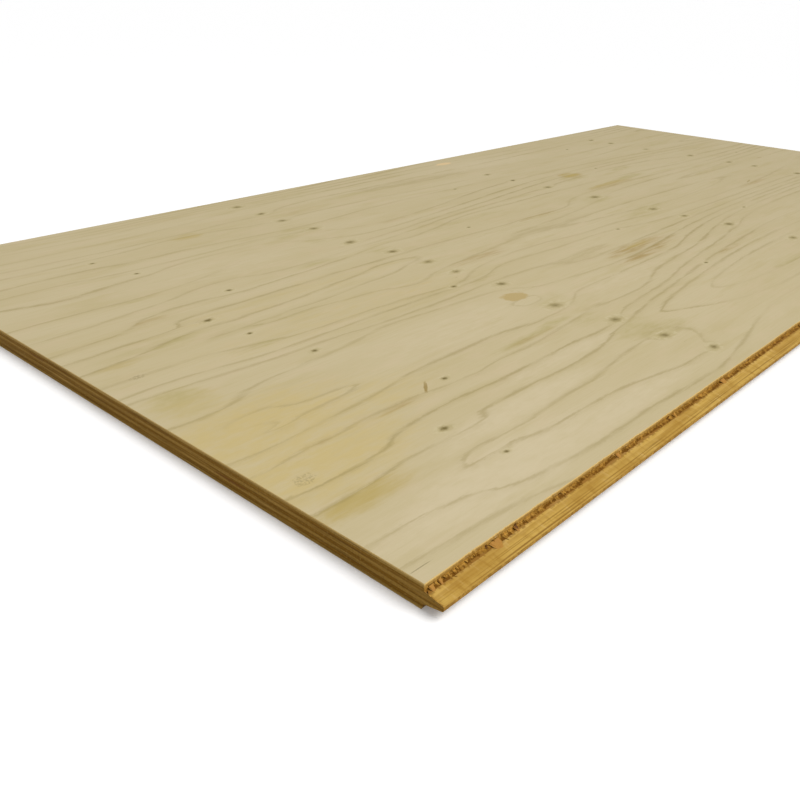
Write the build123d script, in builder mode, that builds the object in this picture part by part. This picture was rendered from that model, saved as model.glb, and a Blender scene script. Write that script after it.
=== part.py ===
from build123d import *
import os

os.makedirs("parts", exist_ok=True)

# Tongue-and-groove plywood sheet, stored lying flat with its better face up.
# +X runs along the long side, +Y towards the grooved edge, +Z up through the thickness.
# The origin is under the middle of the sheet, at the level it rests on.

# Driving dimensions, in millimetres
sheet_length = 2438.4     # eight feet, along the face grain
sheet_width = 1219.2      # four feet, measured over the tongue
outer_ply = 4.1           # thickness of the face veneer and of the back veneer
cross_ply = 4.08          # thickness of each of the three crossbands
inner_ply = 4.08          # thickness of each of the two inner long-grain veneers
tongue_reach = 22.2       # how far the tongue stands out of the upper shoulder
tongue_root = 14.0        # height of the tongue where it leaves the shoulders
tongue_nose = 6.0         # height of the tongue at its tip, before rounding
nose_radius = 1.8         # rounding of the two edges of the nose
lower_relief = 2.6        # the lower shoulder leans back by this much down to the underside
joint_clearance = 0.4     # air above and below a neighbour's tongue in the groove
groove_spare = 1.6        # extra depth past the neighbour's nose
groove_corner = 1.2       # rounding of the groove's two inner corners

# Heights of the glue lines, counted from the underside
lower_cross_base = outer_ply
lower_inner_base = lower_cross_base + cross_ply
centre_base = lower_inner_base + inner_ply
upper_inner_base = centre_base + cross_ply
upper_cross_base = upper_inner_base + inner_ply
face_base = upper_cross_base + cross_ply
thickness = face_base + outer_ply
middle = thickness / 2

# Positions across the sheet
nose_y = -sheet_width / 2
shoulder_y = nose_y + tongue_reach
mouth_y = sheet_width / 2
groove_floor_y = mouth_y - tongue_reach - groove_spare

# The tongue's two flanks close in evenly from the root to the nose.
# The groove's flanks follow the same slope.
flank_slope = (tongue_root - tongue_nose) / 2 / tongue_reach

# The milled profiles run this far past the wood they remove
overrun = 5.0


def flank_half(depth, grow):
    """Half the height of the profile at a depth from the root, grown by an air gap."""
    return tongue_root / 2 + grow - flank_slope * depth


def tapered_profile(start_y, end_y, start_half, end_half, corner):
    """Closed outline that narrows from start_y to end_y, with its two far corners rounded."""
    with BuildSketch(Plane.YZ) as outline:
        with BuildLine():
            Polyline(
                (start_y, middle - start_half),
                (end_y, middle - end_half),
                (end_y, middle + end_half),
                (start_y, middle + start_half),
                close=True,
            )
        make_face()
        far_corners = [v for v in outline.vertices() if abs(v.X - end_y) < 0.01]
        fillet(far_corners, radius=corner)
    return outline.sketch_local


# Tongue: from just inside the upper shoulder to the nose
tongue_profile = tapered_profile(
    shoulder_y + overrun, nose_y,
    flank_half(-overrun, 0), flank_half(tongue_reach, 0), nose_radius,
)

# Groove: the neighbour's tongue grown by the clearance, and deeper than that tongue reaches
groove_profile = tapered_profile(
    mouth_y + overrun, groove_floor_y,
    flank_half(-overrun, joint_clearance),
    flank_half(tongue_reach + groove_spare, joint_clearance), groove_corner,
)

# Wood milled away on the tongue side: above the tongue as far as the upright upper shoulder,
# and below it as far as the lower shoulder, which leans back towards the underside.
with BuildSketch(Plane.YZ) as tongue_waste:
    with Locations((nose_y - overrun, middle)):
        Rectangle(tongue_reach + overrun, middle + overrun, align=(Align.MIN, Align.MIN))
    with BuildLine():
        Polyline(
            (nose_y - overrun, middle),
            (shoulder_y, middle),
            (shoulder_y, middle - tongue_root / 2),
            (shoulder_y + lower_relief, 0),
            (shoulder_y + lower_relief, -overrun),
            (nose_y - overrun, -overrun),
            close=True,
        )
    make_face()
    add(tongue_profile, mode=Mode.SUBTRACT)

# Wood milled away on the groove side
with BuildSketch(Plane.YZ) as groove_waste:
    add(groove_profile)


def lay_veneer(base, height):
    """One full veneer of the glued blank, before the edges are milled."""
    with Locations((0, 0, base)):
        Box(sheet_length, sheet_width, height, align=(Align.CENTER, Align.CENTER, Align.MIN))


def mill_both_edges():
    """Run the tongue cutter along one long edge and the groove cutter along the other."""
    extrude(tongue_waste.sketch, amount=sheet_length, both=True, mode=Mode.SUBTRACT)
    extrude(groove_waste.sketch, amount=sheet_length, both=True, mode=Mode.SUBTRACT)


# Back veneer: long grain
with BuildPart() as back_veneer:
    lay_veneer(0, outer_ply)
    mill_both_edges()

# Lower crossband: grain across the sheet, opened by the lower flank of the groove
with BuildPart() as lower_crossband:
    lay_veneer(lower_cross_base, cross_ply)
    mill_both_edges()

# Lower inner veneer: long grain, carries the underside of the tongue
with BuildPart() as lower_inner_veneer:
    lay_veneer(lower_inner_base, inner_ply)
    mill_both_edges()

# Centre crossband: grain across the sheet, runs out to the nose of the tongue
with BuildPart() as centre_crossband:
    lay_veneer(centre_base, cross_ply)
    mill_both_edges()

# Upper inner veneer: long grain, carries the top of the tongue
with BuildPart() as upper_inner_veneer:
    lay_veneer(upper_inner_base, inner_ply)
    mill_both_edges()

# Upper crossband: grain across the sheet, opened by the upper flank of the groove
with BuildPart() as upper_crossband:
    lay_veneer(upper_cross_base, cross_ply)
    mill_both_edges()

# Face veneer: long grain, ends at the upright upper shoulder
with BuildPart() as face_veneer:
    lay_veneer(face_base, outer_ply)
    mill_both_edges()


back_veneer.part.label = "back_veneer"
lower_crossband.part.label = "lower_crossband"
lower_inner_veneer.part.label = "lower_inner_veneer"
centre_crossband.part.label = "centre_crossband"
upper_inner_veneer.part.label = "upper_inner_veneer"
upper_crossband.part.label = "upper_crossband"
face_veneer.part.label = "face_veneer"

export_step(back_veneer.part, "parts/back_veneer.step")
export_step(lower_crossband.part, "parts/lower_crossband.step")
export_step(lower_inner_veneer.part, "parts/lower_inner_veneer.step")
export_step(centre_crossband.part, "parts/centre_crossband.step")
export_step(upper_inner_veneer.part, "parts/upper_inner_veneer.step")
export_step(upper_crossband.part, "parts/upper_crossband.step")
export_step(face_veneer.part, "parts/face_veneer.step")
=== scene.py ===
# %% [markdown]
# A tongue-and-groove plywood sheet.
#
# The sheet is seven veneers of pine, each turned across its neighbour and glued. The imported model
# gives every veneer its place. This script gives each one the surface a real veneer has: the growth
# lines and knots of the peeled face, the sawn ends, the smooth tongue, and the torn end grain of the
# crossbands along the milled edges.

# %% Load the frame
import math

import bmesh
import bpy
import numpy as np
from mathutils import Matrix, Vector


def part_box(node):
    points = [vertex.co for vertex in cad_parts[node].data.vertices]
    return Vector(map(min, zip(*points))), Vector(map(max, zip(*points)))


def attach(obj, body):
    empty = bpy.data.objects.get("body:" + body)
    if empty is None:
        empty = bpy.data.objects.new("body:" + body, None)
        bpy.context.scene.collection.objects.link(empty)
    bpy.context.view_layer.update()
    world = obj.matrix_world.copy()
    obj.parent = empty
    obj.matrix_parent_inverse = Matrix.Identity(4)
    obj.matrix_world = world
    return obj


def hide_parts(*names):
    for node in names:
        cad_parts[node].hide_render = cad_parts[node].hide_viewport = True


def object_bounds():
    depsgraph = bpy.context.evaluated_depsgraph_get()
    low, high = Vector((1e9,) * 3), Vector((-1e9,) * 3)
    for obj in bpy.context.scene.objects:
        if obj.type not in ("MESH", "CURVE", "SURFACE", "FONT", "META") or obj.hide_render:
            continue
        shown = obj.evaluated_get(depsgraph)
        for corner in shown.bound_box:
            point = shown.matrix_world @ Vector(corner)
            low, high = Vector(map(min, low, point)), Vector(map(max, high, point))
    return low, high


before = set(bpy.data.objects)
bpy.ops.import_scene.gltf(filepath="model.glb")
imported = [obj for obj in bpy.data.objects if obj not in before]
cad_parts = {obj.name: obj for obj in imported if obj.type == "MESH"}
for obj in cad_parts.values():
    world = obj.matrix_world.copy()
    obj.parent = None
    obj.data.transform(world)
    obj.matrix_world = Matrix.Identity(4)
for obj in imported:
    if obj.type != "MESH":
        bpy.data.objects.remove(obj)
cad_low, cad_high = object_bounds()
print("CAD box", [round(side, 4) for side in cad_high - cad_low])

# %% [markdown]
# The sizes come from the frame wherever it holds them. The frame's boxes give the length, the width,
# the height of every glue line and the two shoulders. Only the shape of the tongue and of the groove
# can't be read from a box, so those few sizes are repeated here.

# %% Sizes of the sheet
MM = 0.001
half_length = cad_high.x
thickness = cad_high.z
middle = thickness / 2
nose_y = cad_low.y
mouth_y = cad_high.y
shoulder_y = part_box("face_veneer")[0].y
tongue_reach = shoulder_y - nose_y
net_width = mouth_y - shoulder_y

tongue_root = 14.0 * MM
tongue_nose = 6.0 * MM
nose_radius = 1.8 * MM
lower_relief = 2.6 * MM
joint_clearance = 0.4 * MM
groove_spare = 1.6 * MM
groove_corner = 1.2 * MM
flank_slope = (tongue_root - tongue_nose) / 2 / tongue_reach
flank_lean = math.atan(flank_slope)
print("net width", round(net_width, 4), "flank leans", round(math.degrees(flank_lean), 1), "degrees")

# %% [markdown]
# The camera stands low and close to the near corner, as in the photograph, so the far end of the
# sheet shrinks strongly. It could be aimed with an empty and a constraint. Here its three axes are
# written out, because they were worked out from the two vanishing points of the sheet's own edges.

# %% Camera
near_corner = Vector((-half_length, shoulder_y, thickness))
camera_from_corner = Vector((-0.4418, -0.3603, 0.4613))
camera_right = (0.6760, -0.7364, 0.0272)
camera_up = (0.3147, 0.3219, 0.8929)
camera_back = (-0.6663, -0.5950, 0.4494)

camera_data = bpy.data.cameras.new("photo_camera")
camera_data.sensor_width = 36.0
camera_data.lens = 37.93
camera_data.clip_start = 0.02
camera_data.clip_end = 200.0
camera = bpy.data.objects.new("photo_camera", camera_data)
bpy.context.collection.objects.link(camera)
camera_turn = Matrix((camera_right, camera_up, camera_back)).transposed().to_4x4()
camera.matrix_world = Matrix.Translation(near_corner + camera_from_corner) @ camera_turn
bpy.context.scene.camera = camera
print("camera stands", round(camera_from_corner.length, 3), "m from the near corner")

# %% [markdown]
# Every material and every node tree below is wired by one small helper. It takes numbers and sockets
# alike, so a line of node work reads like a line of arithmetic.


# %% Wiring helper
class Wiring:
    """Adds nodes to one node tree and joins them up."""

    def __init__(self, tree):
        self.tree = tree

    def node(self, kind, **settings):
        made = self.tree.nodes.new(kind)
        for name, value in settings.items():
            setattr(made, name, value)
        return made

    def feed(self, value, socket):
        """Link a socket, or set a plain value."""
        if isinstance(value, bpy.types.NodeSocket):
            self.tree.links.new(value, socket)
        else:
            socket.default_value = value

    def maths(self, operation, *values):
        made = self.node("ShaderNodeMath", operation=operation)
        for value, socket in zip(values, made.inputs):
            self.feed(value, socket)
        return made.outputs[0]

    def vector(self, operation, *values):
        made = self.node("ShaderNodeVectorMath", operation=operation)
        for value, socket in zip(values, made.inputs):
            self.feed(value, socket)
        return made.outputs["Value" if operation == "LENGTH" else "Vector"]

    def scaled(self, vector, factor):
        made = self.node("ShaderNodeVectorMath", operation="SCALE")
        self.feed(vector, made.inputs[0])
        self.feed(factor, made.inputs["Scale"])
        return made.outputs[0]

    def step(self, value, start, end, low=0.0, high=1.0):
        """Ease from low to high while value goes from start to end."""
        made = self.node("ShaderNodeMapRange", interpolation_type="SMOOTHSTEP")
        for part, socket in zip((value, start, end, low, high), made.inputs):
            self.feed(part, socket)
        return made.outputs[0]

    def noise(self, place, size=1.0, detail=2.0, roughness=0.5, distortion=0.0):
        """Cloudy pattern from 0 to 1 whose lumps are about size wide."""
        made = self.node("ShaderNodeTexNoise", noise_dimensions="3D")
        self.feed(place, made.inputs["Vector"])
        made.inputs["Scale"].default_value = 1.0 / size
        made.inputs["Detail"].default_value = detail
        made.inputs["Roughness"].default_value = roughness
        made.inputs["Distortion"].default_value = distortion
        return made.outputs[0]

    def mix(self, share, first, second):
        """The first colour, with a share of the second."""
        made = self.node("ShaderNodeMix", data_type="RGBA")
        self.feed(share, made.inputs[0])
        self.feed(first, made.inputs[6])
        self.feed(second, made.inputs[7])
        return made.outputs[2]

    def attribute(self, name):
        return self.node("ShaderNodeAttribute", attribute_name=name)

    def parts(self, vector):
        made = self.node("ShaderNodeSeparateXYZ")
        self.feed(vector, made.inputs[0])
        return made.outputs

    def joined(self, *values):
        made = self.node("ShaderNodeCombineXYZ")
        for value, socket in zip(values, made.inputs):
            self.feed(value, socket)
        return made.outputs[0]


def calls_of(layer):
    """Names of the calls that a class adds."""
    return [name for name in vars(layer) if not name.startswith("_")]


print("wiring helper has", *calls_of(Wiring))

# %% [markdown]
# The colours in this script were judged on a screen, from 0 to 255. A shader works with amounts of
# light instead, so each colour is turned into those once, here.


# %% Screen colours
def paint(red, green, blue):
    """A colour given as a screen shows it, 0 to 255, made ready for a shader."""
    parts = [value / 255 for value in (red, green, blue)]
    linear = [part / 12.92 if part < 0.04045 else ((part + 0.055) / 1.055) ** 2.4 for part in parts]
    return (*linear, 1.0)


print("mid grey as light", [round(part, 3) for part in paint(128, 128, 128)])

# %% [markdown]
# The floor is plain and pale. The camera sees it as near white, but it throws back less light than a
# white floor would, or it would fill the shade on the sawn near end. Light Path's Is Camera Ray tells
# the two apart, so the object's own light stays at a plain level.

# %% Floor
FLOOR_SIZE = 60.0
FLOOR_AS_SEEN = (0.97, 0.97, 0.97, 1)
FLOOR_AS_LIT = (0.5, 0.5, 0.5, 1)
FLOOR_GLOW = 0.16
WHITE = (1.0, 1.0, 1.0, 1.0)

floor_mesh = bpy.data.meshes.new("floor")
reach = FLOOR_SIZE / 2
floor_corners = [(-reach, -reach, 0), (reach, -reach, 0), (reach, reach, 0), (-reach, reach, 0)]
floor_mesh.from_pydata(floor_corners, [], [(0, 1, 2, 3)])
floor = bpy.data.objects.new("floor", floor_mesh)
bpy.context.collection.objects.link(floor)
floor_paint = bpy.data.materials.new("studio_floor")
floor_paint.use_nodes = True
w = Wiring(floor_paint.node_tree)
shader = floor_paint.node_tree.nodes["Principled BSDF"]
seen = w.node("ShaderNodeLightPath").outputs["Is Camera Ray"]
w.feed(w.mix(seen, FLOOR_AS_LIT, FLOOR_AS_SEEN), shader.inputs["Base Color"])
w.feed(w.maths("MULTIPLY", seen, FLOOR_GLOW), shader.inputs["Emission Strength"])
shader.inputs["Emission Color"].default_value = WHITE
shader.inputs["Roughness"].default_value = 0.9
shader.inputs["Specular IOR Level"].default_value = 0.0
floor_mesh.materials.append(floor_paint)
print("floor", FLOOR_SIZE, "m wide")

# %% [markdown]
# The light is that of a studio: an even white surround, a big soft light high on the tongue's side,
# and a smaller one over the near half of the sheet. The sawn near end turns away from both lamps, so
# it stays in shade, as in the photograph.

# %% Surround
SURROUND_LIGHT = 0.34

world = bpy.data.worlds.new("studio")
world.use_nodes = True
w = Wiring(world.node_tree)
background = world.node_tree.nodes["Background"]
seen = w.node("ShaderNodeLightPath").outputs["Is Camera Ray"]
background.inputs["Color"].default_value = WHITE
w.feed(w.step(seen, 0.0, 1.0, SURROUND_LIGHT, 1.0), background.inputs["Strength"])
bpy.context.scene.world = world
bpy.context.scene.view_settings.view_transform = "Standard"
print("surround throws", SURROUND_LIGHT, "of white on the object")

# %% Lamps
KEY_STRENGTH = 2.03
KEY_SOFTNESS = 38.0
NEAR_LIGHT_WATTS = 8.5
NEAR_LIGHT_SIDE = 1.4
key_towards_light = Vector((0.30, -0.62, 0.95)).normalized()
near_light_place = Vector((-0.85, -1.45, 2.0))

key_data = bpy.data.lights.new("key", "SUN")
key_data.energy = KEY_STRENGTH
key_data.angle = math.radians(KEY_SOFTNESS)
key = bpy.data.objects.new("key", key_data)
bpy.context.collection.objects.link(key)
key.rotation_mode = "QUATERNION"
key.rotation_quaternion = key_towards_light.to_track_quat("Z", "Y")

near_light_data = bpy.data.lights.new("near_light", "AREA")
near_light_data.energy = NEAR_LIGHT_WATTS
near_light_data.size = NEAR_LIGHT_SIDE
near_light = bpy.data.objects.new("near_light", near_light_data)
bpy.context.collection.objects.link(near_light)
near_light.location = near_light_place
near_light.rotation_mode = "QUATERNION"
near_light.rotation_quaternion = (near_light_place - near_corner).to_track_quat("Z", "Y")
level_light = SURROUND_LIGHT + KEY_STRENGTH * key_towards_light.z / math.pi
print("even light on a level surface", round(level_light, 2))

# %% [markdown]
# A rotary-cut face is one long ribbon peeled off a turning log. The knife meets the log's growth
# rings at a glancing angle, so each ring shows as a long wandering line, and where the knife just
# grazes a ring the line turns back on itself in a V. The same figure comes round again with every
# turn of the log, about 470 mm across the sheet, and so do the knots.
#
# The figure could be painted as stripes of noise, but stripes don't meet in a V. A map of heights does: the
# lines are its contours. So the face gets one smooth number at every point, the ring number, and a growth
# line shows wherever that number is whole. Far from the camera the number comes from waves wrapped round the
# log. Near the camera it also passes through lines read off the photograph, each written as points (distance
# from the near end, distance in from the tongue side), in millimetres on a face taken as 1219 mm wide.

# %% Growth lines read near the corner
READ_WIDTH = 1.2192
read_scale = net_width / READ_WIDTH * MM
LOG_TURN = 475.0

# (ring number, how plainly it shows at its first and last point, points)
growth_lines = [
    (1, 0.7, 0.4, [(0, 29), (77, 24), (144, 19), (206, 9), (260, -4)]),
    (2, 0.7, 0.9, [(0, 71), (62, 71), (113, 65), (155, 55), (180, 42), (232, 32), (309, 25),
                   (400, 23), (474, 23), (620, 14)]),
    (3, 1.0, 1.0, [(700, 142), (644, 135), (567, 130), (489, 118), (412, 116), (283, 111),
                   (221, 114), (198, 112), (185, 103), (171, 97), (206, 96), (258, 95), (288, 88),
                   (319, 83), (381, 82), (443, 80), (489, 75), (536, 67), (640, 52)]),
    (3, 0.8, 1.0, [(0, 145), (62, 145), (103, 148), (139, 153), (170, 152), (216, 150), (258, 149),
                   (278, 150), (290, 161), (303, 167), (335, 168), (386, 167), (438, 165),
                   (515, 163), (567, 167), (618, 176), (675, 189)]),
    (4, 1.0, 1.0, [(0, 185), (31, 181), (103, 181), (149, 185), (170, 197), (191, 203), (232, 206),
                   (309, 209), (361, 204), (438, 203), (515, 204), (592, 204), (644, 200)]),
    (5, 0.5, 0.7, [(0, 240), (93, 248), (134, 244), (170, 252), (216, 250), (283, 248), (309, 243),
                   (350, 239), (386, 238), (438, 244), (515, 243), (600, 250)]),
    (6, 0.7, 1.0, [(0, 279), (67, 277), (129, 279), (180, 283), (232, 287), (283, 295), (335, 300),
                   (412, 301), (464, 302), (525, 301), (567, 293), (618, 289), (654, 290)]),
    (7, 0.5, 0.9, [(60, 352), (93, 356), (118, 352), (139, 339), (180, 332), (227, 328), (240, 323)]),
    (7, 0.9, 0.3, [(228, 317), (196, 314), (139, 311), (80, 309)]),
    (7, 1.0, 0.3, [(0, 389), (77, 387), (98, 392), (118, 405), (155, 413), (206, 418), (258, 420),
                   (309, 423), (361, 431), (430, 438)]),
    (8, 0.5, 0.9, [(0, 476), (52, 474), (115, 469), (180, 464), (258, 459), (335, 458), (386, 452),
                   (464, 449), (515, 448), (592, 449), (670, 452)]),
    (9, 0.8, 0.8, [(0, 493), (41, 495), (103, 493), (155, 487), (206, 480), (330, 479), (443, 480),
                   (494, 479), (592, 478)]),
    (10, 0.4, 0.8, [(0, 536), (93, 535), (155, 533), (191, 526), (221, 518), (258, 513), (288, 503),
                    (335, 501), (412, 500), (489, 499), (567, 493), (592, 490), (650, 488)]),
    (11, 0.5, 0.9, [(654, 552), (618, 536), (567, 539), (541, 547), (515, 556), (438, 562),
                    (361, 570), (280, 572), (211, 575), (258, 578), (309, 578), (386, 584),
                    (438, 586), (489, 591), (567, 598), (618, 602), (685, 606)]),
    (11, 1.0, 0.8, [(0, 585), (26, 588), (77, 593), (124, 602), (170, 613), (232, 616), (247, 611),
                    (309, 615), (386, 618), (464, 627), (541, 635), (592, 645), (618, 650)]),
    (12, 0.8, 1.0, [(0, 632), (41, 633), (103, 637), (155, 638), (180, 640), (191, 652), (206, 664),
                    (232, 668), (309, 665), (386, 668), (464, 668), (541, 671), (592, 670),
                    (639, 670)]),
    (13, 0.7, 0.9, [(0, 668), (57, 673), (103, 677), (134, 685), (155, 700), (206, 713), (283, 713),
                    (319, 708), (371, 705), (438, 710), (515, 714), (567, 719)]),
    (14, 0.4, 0.6, [(0, 728), (124, 735), (180, 742), (232, 748), (283, 760), (309, 766), (380, 768)]),
    (15, 0.8, 0.3, [(0, 790), (139, 792), (180, 790), (232, 791), (300, 797)]),
    (16, 0.9, 0.4, [(100, 862), (175, 866), (206, 873), (258, 876), (309, 884), (335, 892), (400, 900)]),
    (17, 0.3, 0.7, [(150, 930), (335, 918), (438, 920), (515, 923), (582, 923)]),
    (18, 0.8, 0.6, [(180, 972), (247, 969), (283, 964), (335, 961), (412, 961), (515, 954), (618, 943)]),
    (19, 0.5, 0.5, [(0, 1018), (150, 1020), (306, 1022), (360, 1026), (420, 1033), (470, 1034), (540, 1028),
                    (605, 1012), (650, 1008)]),
    (20, 0.4, 0.4, [(0, 1058), (150, 1052), (330, 1048), (430, 1052), (520, 1056), (570, 1062), (640, 1062)]),
    (21, 0.25, 0.25, [(0, 1092), (150, 1095), (340, 1098), (450, 1106), (540, 1114), (612, 1124)]),
    (22, 0.2, 0.2, [(0, 1150), (180, 1146), (370, 1145), (500, 1160), (640, 1168), (800, 1166)]),
    (7, 0.7, 0.7, [(632, 353), (646, 341), (678, 341), (692, 353), (678, 365), (646, 365)]),
    (5, 0.6, 0.8, [(712, 268), (733, 257), (790, 256), (850, 255), (900, 262), (988, 288)]),
    (6, 0.5, 0.9, [(765, 322), (850, 323), (950, 325), (1070, 326), (1150, 331)]),
    (8, 0.6, 0.4, [(730, 452), (800, 448), (870, 440), (950, 437), (1040, 441)]),
    (9, 0.5, 0.5, [(760, 494), (900, 495), (1000, 490), (1100, 489)]),
    (10, 0.4, 0.5, [(900, 531), (1000, 524), (1100, 512), (1212, 510)]),
    (11, 0.5, 0.6, [(1000, 588), (1035, 585), (1100, 582), (1200, 584), (1306, 586)]),
    (12, 0.5, 0.5, [(712, 671), (850, 668), (1000, 662), (1150, 660), (1260, 661)]),
    (13, 0.4, 0.8, [(720, 738), (788, 735), (850, 740), (920, 752), (1000, 768), (1100, 771), (1200, 768),
                    (1306, 770)]),
    (20, 0.5, 0.5, [(1035, 1073), (1150, 1070), (1294, 1072)]),
]
print(len(growth_lines), "growth lines placed by hand")

# %% [markdown]
# Lines alone don't pin the map down: between two of them it could rise past a whole number and draw a
# line that isn't there. So some plain ground gets a number that isn't whole, and so do the insides of
# the Vs. A few soft ovals also quieten the lines where the face is plain.

# %% Plain ground between the lines
# (ring number, points)
plain_ground = [
    (3.4, [(240, 104), (320, 97), (420, 99), (520, 96), (620, 95)]),
    (2.6, [(40, 108), (100, 108), (150, 98), (120, 118), (220, 132), (320, 140), (450, 141), (560, 147)]),
    (5.6, [(480, 262), (540, 264), (600, 268)]),
    (6.5, [(60, 320), (300, 345), (400, 355), (500, 360), (600, 350), (420, 400), (520, 405), (600, 410)]),
    (7.2, [(180, 325), (140, 325), (90, 330)]),
    (7.35, [(654, 353), (670, 353)]),
    (6.7, [(604, 353), (720, 353), (662, 322), (662, 392)]),
    (6.7, [(100, 372), (50, 370)]),
    (10.5, [(40, 560), (120, 560)]),
    (11.3, [(300, 575), (361, 577), (438, 574), (515, 574), (600, 568)]),
    (10.7, [(200, 592), (330, 598), (450, 604), (560, 616)]),
    (12.5, [(300, 690), (420, 690)]),
    (14.4, [(420, 790), (520, 820), (560, 760)]),
    (15.5, [(420, 850), (520, 880)]),
]

# Plain ground where a growth line would show: (distance along, distance in, half length, half width)
quiet_ground = [
    (62, 332, 34, 30), (505, 835, 130, 62), (600, 785, 60, 48), (560, 900, 60, 30), (330, 255, 60, 5),
]
print(len(plain_ground), "stretches of plain ground and", len(quiet_ground), "quiet ovals")

# %% [markdown]
# The knots stand in rows, because a pine makes its branches in rings round the trunk. The knife goes
# through each ring of branches once a turn. Between the rows are a few pin knots a few millimetres
# across. A noise can't place them, so they are listed, in the same millimetres as the growth lines.

# %% Knots
# (distance along, distance in, radius)
knots_on_face = [
    (690, 1155, 7), (692, 1074, 6), (690, 1001, 7), (698, 911, 7), (684, 790, 8), (700, 691, 7),
    (702, 603, 7), (695, 531, 6), (629, 482, 4), (700, 434, 7), (679, 310, 8.5), (693, 209, 7.5),
    (690, 124, 7), (701, 52, 6),
    (1404, 1000, 6), (1399, 912, 5), (1402, 806, 7.5), (1400, 668, 9), (1400, 512, 8),
    (1396, 432, 6), (1404, 331, 8), (1400, 190, 7), (1407, 49, 7),
    (2112, 1107, 7), (2113, 1034, 7), (2109, 905, 6), (2121, 762, 8), (2114, 636, 7), (2117, 560, 6),
    (2108, 433, 8), (2120, 288, 7), (2113, 160, 7), (2119, 86, 6),
    (341, 724, 3.6), (335, 257, 3.6), (236, 637, 5), (229, 169, 4.6), (249, 554, 3), (238, 86, 2.7),
    (278, 899, 3), (274, 442, 3.9), (252, 1000, 3), (948, 702, 2.8), (1090, 241, 3), (1204, 948, 3),
    (1177, 478, 3), (1588, 373, 3), (1712, 851, 3), (1862, 213, 3), (1901, 1066, 3), (2296, 690, 3),
    (2302, 226, 3),
]
print(len(knots_on_face), "knots")

# %% [markdown]
# The face has a few other sharp marks: streaks of pitch, a round tan burl, a honey-coloured patch,
# patches of grey specks, and a fine check where the skin has split along the grain.

# %% Sharp marks
TAN, PITCH, CRACK, GREY = (188, 165, 112), (156, 132, 76), (110, 98, 64), (140, 126, 88)
HONEY = (226, 198, 150)
# (colour, strength, distance along, distance in, half length, half width, turn in degrees)
marks_on_face = [
    (TAN, 0.92, 663, 380, 26, 17, -10), (PITCH, 0.85, 298, 258, 17, 2.4, 44),
    (CRACK, 0.5, 15, 18.4, 14, 0.6, -1), (GREY, 0.36, 40, 200, 13, 10, 10),
    (GREY, 0.45, 53, 535, 12, 5, 0), (HONEY, 0.9, 1424, 1170, 30, 12, 0),
    (PITCH, 0.5, 1892, 486, 20, 2.4, 12), (PITCH, 0.5, 2262, 604, 16, 2.2, -9),
]
print(len(marks_on_face), "sharp marks")

# %% [markdown]
# Resin, water and the heartwood leave soft stains, and sanding leaves bleached bands. Each is an oval
# of one of five colours, most often long along the grain. The material roughens its edge later.

# %% Soft stains
stain_paints = {"amber": (202, 182, 127), "olive": (182, 168, 116), "brown": (168, 142, 86),
                "tan": (187, 166, 103), "bleach": (209, 194, 159)}
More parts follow.
